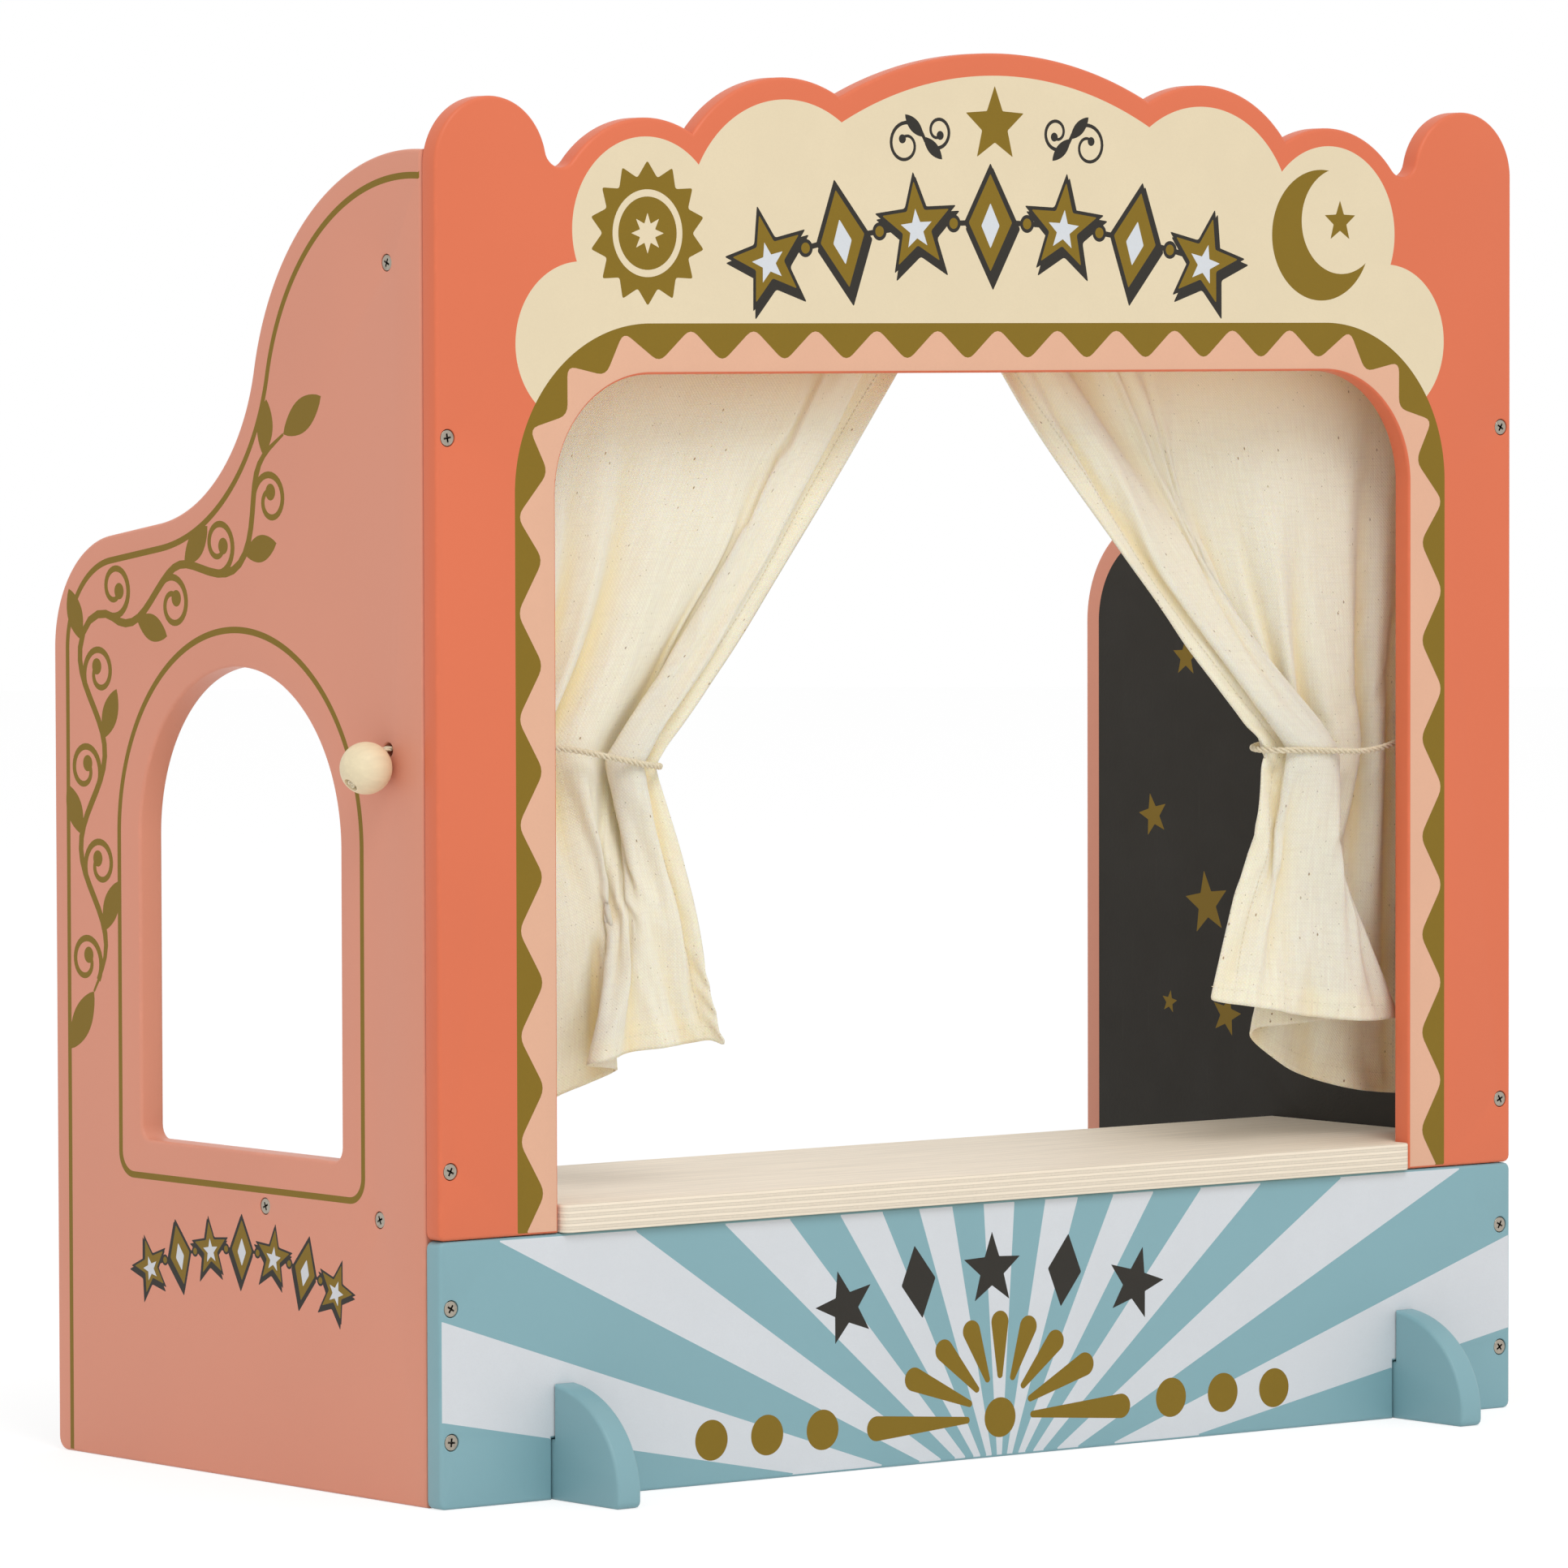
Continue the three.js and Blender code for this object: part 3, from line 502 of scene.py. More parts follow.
def veneer(name, colour, grain, strength=1.0):
    """Clear matt wood: fine fibres, a soft figure and short dark pores along the grain."""
    finish = Finish(name, colour)
    fibres, figure = along_grain(finish, *grain)
    body = finish.mix(fibres.over(0.3, 0.72), 1 - 0.14 * strength, 1 + 0.04 * strength)
    figured = finish.mix(figure * (0.26 * strength), body, 0.83)
    short = finish.stretched(*(scale * PORE_SCALE for scale in grain))
    pores = finish.noise(1.0, 2.0, 0.5, short).over(0.66, 0.78)
    finish.set(
        Base_Color=finish.mix(pores * (0.4 * strength), figured, 0.66),
        Roughness=0.62 - fibres * 0.14,
        Normal=finish.bump(fibres - pores * 0.6, 0.00012, 0.6))


def ply_edge(name, colour):
    """The sawn edge of plywood: pale plies with end grain between thin glue lines."""
    finish = Finish(name, colour)
    sizes = boards()
    height = finish.axes()[2]
    wander = finish.noise(30.0, 2.0) * 0.00035
    bottom = (sizes.shelf_top - sizes.shelf_thickness) * MM
    ply = (height + wander - bottom) * (PLIES / (sizes.shelf_thickness * MM))
    cross = (ply * 0.5).part().over(0.47, 0.53)
    glue = 1 - (ply.part() - 0.5).magnitude().over(0.38, 0.47)
    fibres = finish.noise(1.0, 4.0, 0.6, finish.stretched(60.0, 60.0, 900.0))
    ends = finish.noise(900.0, 3.0, 0.6)
    long_grain = finish.mix(fibres, 0.9, 1.05)
    end_grain = finish.mix(ends, 0.7, 0.9)
    body = finish.mix(cross * 0.8, long_grain, end_grain)
    finish.set(
        Base_Color=finish.mix((1 - glue) * 0.55, body, 0.6),
        Roughness=0.7,
        Normal=finish.bump(ends + glue * 0.7, 0.0002, 0.6))


def calico_cloth(name, colour):
    """Unbleached plain weave: thick and thin threads, knots of lint and dark flecks of husk."""
    finish = Finish(name, colour)
    husk = finish.tint(colours().husk)
    flat = finish.uv()
    across, down, _ = finish.axes(flat)
    threads = math.pi / (curtain_sizes().thread_pitch * MM)
    slub = finish.noise(1.0, 3.0, 0.6, finish.stretched(850.0, 60.0, 1.0, flat))
    slub_across = finish.noise(1.0, 3.0, 0.6, finish.stretched(60.0, 850.0, 1.0, flat))
    warp = (across * threads + slub * 2.0).sine()
    weft = (down * threads + slub_across * 2.0).sine()
    over_under = warp * weft
    weave = over_under * 0.5 + warp * warp * 0.3 + weft * weft * 0.3
    body = finish.mix(slub.over(0.3, 0.75), 0.93, 1.05)
    threaded = finish.mix(slub_across.over(0.42, 0.8) * 0.6, body, 0.86)
    cloudy = finish.mix(finish.noise(26.0, 3.0).over(0.4, 0.75) * 0.2, threaded, 0.94)
    # Painted shadow: the top of the cloth below the rod, tinted warm and darker where the arch casts its
    # shadow.
    header_shadow_mask = down.over(-0.1, -0.03) * (finish.noise(18.0, 3.0).over(0.25, 0.6) * 0.4 + 0.6)
    header_shaded = finish.mix(header_shadow_mask, cloudy, finish.tint(colours().header_shade_colour))
    # Painted shade: deep folds of the cloth tinted warm and darker, as if in shadow.
    fold_shaded = finish.mix(finish.attribute("fold_depth") * 0.6, header_shaded, finish.tint(colours().fold_shade_colour))
    behind = finish.mix(0.45, 1.0, husk)
    gaps = finish.mix((1 - weave.over(-0.2, 0.5)) * 0.3, fold_shaded, behind)
    distance, which = finish.cells(210.0, finish.stretched(1.0, 0.6, 1.0, flat))
    fleck = (1 - distance.over(0.05, 0.12)) * finish.axes(which)[0].over(0.72, 0.76)
    fine, rare = finish.cells(330.0, flat)
    speck = (1 - fine.over(0.05, 0.13)) * finish.axes(rare)[1].over(0.52, 0.56)
    flecked = finish.mix((fleck * 0.8).most(speck * 0.62), gaps, husk)
    lint = finish.noise(330.0, 3.0, 0.7, flat).over(0.6, 0.8)
    relief = weave * 0.7 + slub * 0.4 + slub_across * 0.4 + lint * 0.5
    finish.set(
        Base_Color=flecked,
        Roughness=finish.noise(90.0, 2.0) * 0.1 + 0.86,
        Normal=finish.bump(relief, 0.0002, 0.7),
        Sheen_Weight=0.2,
        Sheen_Roughness=0.6,
        Subsurface_Weight=0.35,
        Subsurface_Radius=(1.0, 0.68, 0.32),
        Subsurface_Scale=0.004,
        Specular_IOR_Level=0.15)


def cotton_yarn(name, colour):
    finish = Finish(name, colour)
    fuzz = finish.noise(2600.0, 3.0, 0.7)
    fibres = finish.noise(1.0, 3.0, 0.6, finish.stretched(1500.0, 1500.0, 500.0))
    finish.set(
        Base_Color=finish.mix(fibres.over(0.3, 0.75), 0.82, 1.04),
        Roughness=fuzz * 0.1 + 0.85,
        Normal=finish.bump(fibres + fuzz * 0.6, 0.00012, 0.8),
        Sheen_Weight=0.3,
        Specular_IOR_Level=0.2)


def nickel_plate(name, colour):
    finish = Finish(name, colour)
    stain = finish.noise(420.0, 4.0, 0.6).over(0.45, 0.8)
    finish.set(
        Base_Color=finish.mix(stain * 0.6, 1.0, 0.45),
        Metallic=1.0,
        Roughness=finish.noise(700.0, 3.0) * 0.2 + 0.22,
        Normal=finish.bump(finish.noise(1600.0, 2.0), 0.00003, 0.5))


# Flat drawing

def arc(x, y, radius, start, end, pitch=ARC_PITCH):
    """Points of an arc, both ends included, with no chord much longer than pitch."""
    steps = max(3, math.ceil(abs(end - start) * radius / pitch))
    turn = np.linspace(start, end, steps + 1)
    return np.column_stack((x + radius * np.cos(turn), y + radius * np.sin(turn)))


def circle(x, y, radius, pitch=ARC_PITCH):
    return arc(x, y, radius, 0, 2 * math.pi, pitch)[:-1]


def heading(start, end):
    return math.atan2(end[1] - start[1], end[0] - start[0])


def mirrored(points):
    return (np.asarray(points, float) * (-1, 1))[::-1]


def joined(*stretches):
    """One closed line through the stretches, without doubled points."""
    points = np.vstack(stretches).astype(float)
    ahead = np.linalg.norm(points - np.roll(points, 1, axis=0), axis=1)
    return points[ahead > LEAST_SPACING]


def anticlockwise(points):
    points = np.asarray(points, float)
    after = np.roll(points, -1, axis=0)
    area = np.sum(points[:, 0] * after[:, 1] - after[:, 0] * points[:, 1])
    return points if area > 0 else points[::-1]


def moved_in(points, distance):
    """The closed line moved to its left by distance, with square mitres."""
    before = points - np.roll(points, 1, axis=0)
    after = np.roll(points, -1, axis=0) - points
    normals = []
    for step in (before, after):
        unit = step / np.linalg.norm(step, axis=1)[:, None]
        normals.append(np.column_stack((-unit[:, 1], unit[:, 0])))
    facing = 1 + np.sum(normals[0] * normals[1], axis=1)
    return points + distance * (normals[0] + normals[1]) / np.maximum(facing, 0.2)[:, None]


def upper_crossing(a, radius_a, b, radius_b):
    """Where two circles cross, on the upper side."""
    a, b = np.array(a, float), np.array(b, float)
    span = np.linalg.norm(b - a)
    along = (radius_a ** 2 - radius_b ** 2 + span ** 2) / (2 * span)
    aside = math.sqrt(max(0, radius_a ** 2 - along ** 2))
    way = (b - a) / span
    up = np.array((-way[1], way[0]))
    return a + way * along + (up if up[1] > 0 else -up) * aside


def softened(corners, reach, steps=5):
    """The closed line through corners, each eased round from reach before it to reach after it."""
    corners = np.asarray(corners, float)
    points = []
    for i, corner in enumerate(corners):
        ends = []
        for other in (corners[i - 1], corners[(i + 1) % len(corners)]):
            way = other - corner
            span = np.linalg.norm(way)
            ends.append(corner + way * min(reach, span / 2 * 0.98) / span)
        for share in np.linspace(0, 1, steps):
            rest = 1 - share
            points.append(rest ** 2 * ends[0] + 2 * share * rest * corner + share ** 2 * ends[1])
    return np.array(points)


def left_of(line):
    """The unit normals on the left of a line's points."""
    way = np.gradient(line, axis=0)
    way /= np.linalg.norm(way, axis=1)[:, None]
    return np.column_stack((-way[:, 1], way[:, 0]))


def stroke(points, width):
    """A ribbon along a line; width is one number or one for each point."""
    points = np.asarray(points, float)
    aside = left_of(points) * (np.broadcast_to(width, len(points)) / 2)[:, None]
    return np.vstack((points + aside, (points - aside)[::-1]))


def curve_through(points, steps=12):
    """A smooth line through points, flat or in space: a centripetal spline."""
    points = np.asarray(points, float)
    padded = np.vstack((2 * points[0] - points[1], points, 2 * points[-1] - points[-2]))
    line = [points[0]]
    for a, b, c, d in zip(padded, padded[1:], padded[2:], padded[3:]):
        tb = math.sqrt(np.linalg.norm(b - a))
        tc = tb + math.sqrt(np.linalg.norm(c - b))
        td = tc + math.sqrt(np.linalg.norm(d - c))
        for t in np.linspace(tb, tc, steps + 1)[1:]:
            ab = a + (b - a) * t / tb
            bc = b + (c - b) * (t - tb) / (tc - tb)
            cd = c + (d - c) * (t - tc) / (td - tc)
            early = ab + (bc - ab) * t / tc
            late = bc + (cd - bc) * (t - tb) / (td - tb)
            line.append(early + (late - early) * (t - tb) / (tc - tb))
    return np.array(line)


def walked(line):
    """How far along the line each of its points is."""
    return np.concatenate(([0.0], np.cumsum(np.linalg.norm(np.diff(line, axis=0), axis=1))))


def spread(line, count):
    """The same line with count points, evenly spaced."""
    span = walked(line)
    return np.column_stack([np.interp(np.linspace(0, span[-1], count), span, axis) for axis in line.T])


# Meshes

def in_frame(points):
    """Millimetres from the front face of the arch, as metres in the frame."""
    return np.asarray(points, float).reshape(-1, 3) * MM + (0, ARCH_LOW.y, 0)


def finish(name):
    """The finish of that name, made when it is first asked for."""
    if name not in bpy.data.materials:
        make, paint, *options = FINISHES[name]
        make(name, getattr(colours(), paint), *options)
    return bpy.data.materials[name]


def quads(rows, columns, row_length):
    """Faces in rows and columns over rows of points, which close to rings if columns is row_length."""
    return [
        (row * row_length + k, row * row_length + (k + 1) % row_length,
         (row + 1) * row_length + (k + 1) % row_length, (row + 1) * row_length + k)
        for row in range(rows) for k in range(columns)]


class Skin:
    """Points and faces in millimetres, each face with its finish."""

    def __init__(self):
        self.points, self.rounded = [], []
        self.faces, self.finishes, self.smooth = [], [], []
        self.names = []

    def add(self, points, faces, finishes, smooth=True, rounded=0.0):
        """finishes is one name, or one for each face; rounded is 1 where paint wears first and where a
        highlight is painted on the rounded edges.
        """
        start = len(self.points)
        names = [finishes] * len(faces) if isinstance(finishes, str) else finishes
        for name in names:
            if name not in self.names:
                self.names.append(name)
        self.points.extend(points)
        self.rounded.extend(np.broadcast_to(rounded, len(points)))
        self.faces.extend([start + corner for corner in face] for face in faces)
        self.finishes.extend(self.names.index(name) for name in names)
        self.smooth.extend([smooth] * len(faces))

    def band(self, rings, finishes, rounded):
        """Faces between rings of points; finishes holds one row of names for each gap."""
        count = len(rings[0])
        for i, (low, high) in enumerate(zip(rings, rings[1:])):
            worn_and_highlit = np.repeat((rounded[i], rounded[i + 1]), count)
            row = finishes if isinstance(finishes, str) else finishes[i]
            self.add(np.vstack((low, high)), quads(1, count, count), row, True, worn_and_highlit)

    def made(self, name, place=in_frame):
        """A piece from this skin, closed up and facing outwards; place turns its points into metres."""
        mesh = bpy.data.meshes.new(name)
        mesh.from_pydata(place(self.points).tolist(), [], self.faces)
        mesh.attributes.new("rounded_edge", "FLOAT", "POINT").data.foreach_set("value", self.rounded)
        mesh.polygons.foreach_set("material_index", self.finishes)
        mesh.polygons.foreach_set("use_smooth", self.smooth)
        for finish_name in self.names:
            mesh.materials.append(finish(finish_name))
        return settled(name, mesh)


def placed(name, data):
    """A new object in the scene, at the origin."""
    made = bpy.data.objects.new(name, data)
    bpy.context.scene.collection.objects.link(made)
    return made


def settled(name, mesh, merge=True):
    """A piece from a mesh, its doubles merged and its faces turned outwards."""
    if merge:
        shape = bmesh.new()
        shape.from_mesh(mesh)
        bmesh.ops.remove_doubles(shape, verts=shape.verts, dist=PAINT_TOLERANCE * MM)
        bmesh.ops.dissolve_degenerate(shape, edges=shape.edges, dist=PAINT_TOLERANCE * MM / 10)
        bmesh.ops.recalc_face_normals(shape, faces=shape.faces)
        shape.to_mesh(mesh)
        shape.free()
    mesh.set_sharp_from_angle(angle=SHARP_ANGLE)
    return placed(name, mesh)


def turned(profile, sides, closed=False):
    """Points and faces of a profile of radius and height turned about Z."""
    turn = np.linspace(0, 2 * math.pi, sides, endpoint=False)
    points = np.vstack([
        np.column_stack((radius * np.cos(turn), radius * np.sin(turn), np.full(sides, height)))
        for radius, height in profile])
    faces = quads(len(profile) if closed else len(profile) - 1, sides, sides)
    return points, [[corner % len(points) for corner in face] for face in faces]


def aimed(points, way, at):
    """Points along +Z turned to point along way, and moved to at."""
    turn = Vector((0, 0, 1)).rotation_difference(Vector(way)).to_matrix()
    return np.asarray(points) @ np.array(turn).T + np.asarray(at, float)


# Boards with prints

def cuts_on(line, found):
    """Where found points lie on the edges of a closed line: rows of edge and share along it."""
    way = np.roll(line, -1, axis=0) - line
    span = np.linalg.norm(way, axis=1)
    offset = found[:, None, :] - line[None]
    share = np.sum(offset * way, axis=2) / span ** 2
    gap = np.linalg.norm(offset - share[..., None] * way, axis=2)
    inside = (share * span > 3 * PAINT_TOLERANCE) & ((1 - share) * span > 3 * PAINT_TOLERANCE)
    return [(edge, share[row, edge]) for row, edge in np.argwhere(inside & (gap < 3 * PAINT_TOLERANCE))]


def with_cuts(line, cuts):
    """The closed line with a point put in at each cut."""
    stations = np.array([*((i, 0.0) for i in range(len(line))), *cuts])
    stations = stations[np.lexsort((stations[:, 1], stations[:, 0]))]
    index = stations[:, 0].astype(int)
    return line[index] + (np.roll(line, -1, axis=0) - line)[index] * stations[:, 1:]


def printed(lines, prints, ground):
    """Triangles inside the first line and outside the others, each with the finish of the topmost print."""
    shapes = [anticlockwise(shape) for shape in [*lines, *(shape for _, shape in prints)]]
    ends = np.cumsum([0, *(len(shape) for shape in shapes)])
    rows = [list(range(start, end)) for start, end in zip(ends, ends[1:])]
    corners = [Vector(point) for point in np.vstack(shapes)]
    points, _, triangles, _, _, owners = delaunay_2d_cdt(corners, [], rows, 1, PAINT_TOLERANCE, True)
    holes = set(range(1, len(lines)))
    kept = []
    finishes = []
    for triangle, owner in zip(triangles, owners):
        if 0 in owner and not holes.intersection(owner):
            top = max(owner) - len(lines)
            kept.append(triangle)
            finishes.append(prints[top][0] if top >= 0 else ground)
    used, kept = np.unique(kept, return_inverse=True)
    return np.array([points[i][:] for i in used]), kept.reshape(-1, 3).tolist(), finishes


def finish_beside(line, points, triangles, finishes):
    """The finish of the face that lies against each edge of a line."""
    tree = KDTree(3 * len(triangles))
    for i, triangle in enumerate(triangles):
        for a, b in zip(triangle, (*triangle[1:], triangle[0])):
            tree.insert((*((points[a] + points[b]) / 2), 0), 3 * i)
    tree.balance()
    middles = (line + np.roll(line, -1, axis=0)) / 2
    return [finishes[tree.find((*middle, 0))[1] // 3] for middle in middles]


def board(name, outline, holes, thickness, rounding, place, ground, edge, prints=((), ())):
    """A board with rounded edges, of one finish on both faces and one on its edges.

    holes pairs each closed line with its own rounding. place turns flat points and their depth into
    millimetres in space. prints has those of the face at no depth and those of the one behind.
    """
    lines = [anticlockwise(outline), *(anticlockwise(hole)[::-1] for hole, _ in holes)]
    roundings = [rounding, *(hole_rounding for _, hole_rounding in holes)]
    rims = [moved_in(line, inset) for line, inset in zip(lines, roundings)]
    cuts = [[] for _ in lines]
    for painting in prints:
        if painting:
            points, _, _ = printed(rims, painting, ground)
            for k, rim in enumerate(rims):
                cuts[k].extend(cuts_on(rim, points))
    cut_rims = [with_cuts(rim, cut) for rim, cut in zip(rims, cuts)]
    skin = Skin()
    beside = []
    for depth, painting in zip((0, thickness), prints):
        points, triangles, finishes = printed(cut_rims, painting, ground)
        skin.add(place(points, depth), triangles, finishes, smooth=False)
        beside.append([finish_beside(rim, points, triangles, finishes) for rim in cut_rims])
    turn = np.linspace(0, QUARTER, ROUND_STEPS + 1)
    for k, line in enumerate(lines):
        inset = roundings[k] * (1 - np.sin(turn))
        depth = roundings[k] * (1 - np.cos(turn))
        insets = np.concatenate((inset, inset[::-1]))
        depths = np.concatenate((depth, thickness - depth[::-1]))
        # Highest in the middle of each round, where the lacquer paints rubbed wear and a painted highlight.
        worn_and_highlit = np.concatenate((np.sin(2 * turn), np.sin(2 * turn[::-1])))
        rings = [place(with_cuts(moved_in(line, i), cuts[k]), d) for i, d in zip(insets, depths)]
        gaps = [beside[0][k], *([edge] * len(rings[0]) for _ in rings[2:-1]), beside[1][k]]
        skin.band(rings, gaps, worn_and_highlit)
    return skin.made(name)


def level(flat, height):
    """Lays a flat shape level at a height."""
    return np.column_stack((flat, np.full(len(flat), height)))


def across(flat, depth):
    """Stands a board drawn in X and Z upright across the front."""
    return np.column_stack((flat[:, 0], np.full(len(flat), depth), flat[:, 1]))


def along(outside, sign):
    """Stands a board drawn in Y and Z upright along a side, its depth counted in from outside."""
    def place(flat, depth):
        return np.column_stack((np.full(len(flat), outside - sign * depth), flat))
    return place


def arch_screw_heights():
    s = boards()
    f = fittings()
    return s.opening_top - f.arch_screw_drop, s.arch_bottom + f.arch_screw_rise


def base_screw_heights():
    inset = fittings().base_screw_inset
    return boards().base_height - inset, inset


def stage_screw_places():
    """Back and height of the screws into the stage, front and rear."""
    s = boards()
    f = fittings()
    middle = s.shelf_top - s.shelf_thickness / 2
    return (f.stage_screw_front, middle), (s.shelf_reach - f.stage_screw_rear, middle)


def screw_holes(places):
    """Clearance holes for screw heads at flat places."""
    f = fittings()
    return [(circle(x, y, f.head_radius + f.screw_gap, HOLE_PITCH), f.hole_round) for x, y in places]


def front_screw_holes(heights):
    """Holes at both ends of a front board, over the middle of the side boards' edges."""
    s = boards()
    edge_middle = s.width / 2 - s.side_thickness / 2
    return screw_holes([(sign * edge_middle, height) for _, sign in SIDES for height in heights])


# Ornaments, all of this stand's own drawing

LOZENGE_EASE = 0.6


def star(x, y, radius, points=5, waist=0.42, turn=QUARTER, ease=0.0):
    corners = []
    for i in range(2 * points):
        reach = radius if i % 2 == 0 else radius * waist
        way = turn + math.pi * i / points
        corners.append((x + reach * math.cos(way), y + reach * math.sin(way)))
    return softened(corners, ease, 4) if ease else np.array(corners)


def lozenge(half_width, half_height):
    corners = [(half_width, 0), (0, half_height), (-half_width, 0), (0, -half_height)]
    return softened(corners, LOZENGE_EASE, 4)


def on_ring(x, y, radius, turn):
    """A point of a circle, turned clockwise from its top."""
    return np.array((x + radius * math.sin(turn), y + radius * math.cos(turn)))


def turned_shape(shape, angle, at):
    """A flat shape turned about the origin and moved to a place."""
    c, s = math.cos(angle), math.sin(angle)
    return np.asarray(shape) @ np.array(((c, s), (-s, c))) + at


def teardrop(tail, tip_radius, span, at, angle):
    """A petal that starts with half-width tail at a place and swells to a round end."""
    swell = math.asin((tip_radius - tail) / (span - tip_radius))
    middle = span - tip_radius
    end = arc(middle, 0, tip_radius, -QUARTER - swell, QUARTER + swell, 0.8)
    root = arc(tail, 0, tail, QUARTER, 3 * QUARTER, 0.5)
    return turned_shape(np.vstack((end, root)), angle, at)


def leaf(at, angle, span, width):
    """Two arcs that meet in points."""
    share = np.linspace(0, 1, 14)
    side = np.sin(math.pi * share) ** 0.8 * width / 2
    upper = np.column_stack((share * span, side))
    lower = np.column_stack((share * span, -side))[::-1][1:-1]
    return turned_shape(np.vstack((upper, lower))[::-1], angle, at)


def curl(at, angle, radius, turns, hand, width):
    """A spiral that leaves a place along an angle and winds in to a dot: its line and the dot."""
    share = np.linspace(0, 1, 40)
    reach = radius * (1 - 0.72 * share)
    way = angle - hand * QUARTER + hand * 2 * math.pi * turns * share
    centre = np.array(at) - radius * np.array((math.cos(way[0]), math.sin(way[0])))
    line = centre + np.column_stack((reach * np.cos(way), reach * np.sin(way)))
    return stroke(line, width * (1 - 0.25 * share)), circle(*line[-1], width * 1.15, 0.5)


def crescent(x, y, radius, bite, aside, tilt):
    """A moon: a disc less a smaller disc set aside."""
    meet = math.acos((radius ** 2 + aside ** 2 - bite ** 2) / (2 * radius * aside))
    meet_bite = math.acos((bite ** 2 + aside ** 2 - radius ** 2) / (2 * bite * aside))
    outer = arc(0, 0, radius, meet, 2 * math.pi - meet, 1.2)
    inner = arc(aside, 0, bite, math.pi + meet_bite, math.pi - meet_bite, 1.2)
    return turned_shape(np.vstack((outer, inner[1:-1])), tilt, (x, y))


# Geometry Nodes

YARNS = 3
YARN_SIDES = 8
YARN_SHARE = 0.47


class Growth(Nodes):
    """A Geometry Nodes tree with named inputs for its sizes."""

    def __init__(self, name, **inputs):
        super().__init__(bpy.data.node_groups.new(name, "GeometryNodeTree"))
        for label, kind in {"Geometry": "Geometry", **inputs}.items():
            self.tree.interface.new_socket(label, in_out="INPUT", socket_type="NodeSocket" + kind)
        self.tree.interface.new_socket("Geometry", in_out="OUTPUT", socket_type="NodeSocketGeometry")
        self.start = self.node("NodeGroupInput")

    def given(self, label):
        return Wire(self, self.start.outputs[label])

    def finished(self, geometry):
        """Ends the tree: instances made real, shaded smooth, in the tree's material if it has one."""
        real = self.wire(0, "GeometryNodeRealizeInstances", {}, {"Geometry": geometry})
        ready = self.wire(0, "GeometryNodeSetShadeSmooth", {}, {"Geometry": real})
        if "Material" in self.start.outputs:
            ready = self.wire(
                0, "GeometryNodeSetMaterial", {}, {"Geometry": ready, "Material": self.given("Material")})
        self.node("NodeGroupOutput", {}, {"Geometry": ready})
        return self

    def made(self, name, points, edges=(), attributes=(), **values):
        """The piece that the tree makes on points; attributes are rows of name, type and values."""
        mesh = bpy.data.meshes.new(name)
        mesh.from_pydata(np.asarray(points).tolist(), list(edges), [])
        for label, kind, rows in attributes:
            mesh.attributes.new(label, kind, "POINT").data.foreach_set("value", np.ravel(rows))
        carrier = placed(name + "_carrier", mesh)
        modifier = carrier.modifiers.new("growth", "NODES")
        modifier.node_group = self.tree
        sockets = {item.name: item.identifier for item in self.tree.interface.items_tree
                   if item.in_out == "INPUT"}
        for label, value in values.items():
            modifier[sockets[label]] = value
        grown = evaluated(carrier)
        bpy.data.objects.remove(carrier)
        return settled(name, grown, merge=False)


def evaluated(piece):
    """A piece's mesh with its modifiers worked out."""
    piece.update_tag()
    graph = bpy.context.evaluated_depsgraph_get()
    return bpy.data.meshes.new_from_object(piece.evaluated_get(graph))


def strung(lines):
    """The points of several lines and the edges that join each line's own points."""
    edges = []
    start = 0
    for line in lines:
        edges.extend((i, i + 1) for i in range(start, start + len(line) - 1))
        start += len(line)
    return np.vstack(lines), edges


def rope_growth():
    """Yarn laid round the carrier line: round strands that turn once in each lay."""
    growth = Growth("Twisted cord", Radius="Float", Lay="Float", Material="Material")
    radius = growth.given("Radius")
    line = growth.wire(0, "GeometryNodeMeshToCurve", {}, {"Mesh": growth.given("Geometry")})
    fine = growth.wire(0, "GeometryNodeResampleCurve", {"mode": "LENGTH"}, {
        "Curve": line, "Length": radius * 0.5})
    length_on = growth.wire("Length", "GeometryNodeSplineParameter")
    laid = growth.wire(0, "GeometryNodeSetCurveTilt", {}, {
        "Curve": fine, "Tilt": length_on / growth.given("Lay") * (2 * math.pi)})
    section = growth.node("GeometryNodeJoinGeometry")
    for k in range(YARNS):
        turn = 2 * math.pi * k / YARNS
        yarn = growth.wire(0, "GeometryNodeCurvePrimitiveCircle", {}, {
            "Resolution": YARN_SIDES, "Radius": YARN_SHARE})
        aside = growth.wire(0, "GeometryNodeTransform", {}, {
            "Geometry": yarn,
            "Translation": ((1 - YARN_SHARE) * math.cos(turn), (1 - YARN_SHARE) * math.sin(turn), 0)})
        growth.feed(section.inputs[0], aside)
    fullness = growth.wire(
        0, "GeometryNodeInputNamedAttribute", {"data_type": "FLOAT"}, {"Name": "fullness"})
    swept = growth.wire(0, "GeometryNodeCurveToMesh", {}, {
        "Curve": laid, "Profile Curve": Wire(growth, section.outputs[0]), "Scale": radius * fullness,
        "Fill Caps": True})
    return growth.finished(swept)


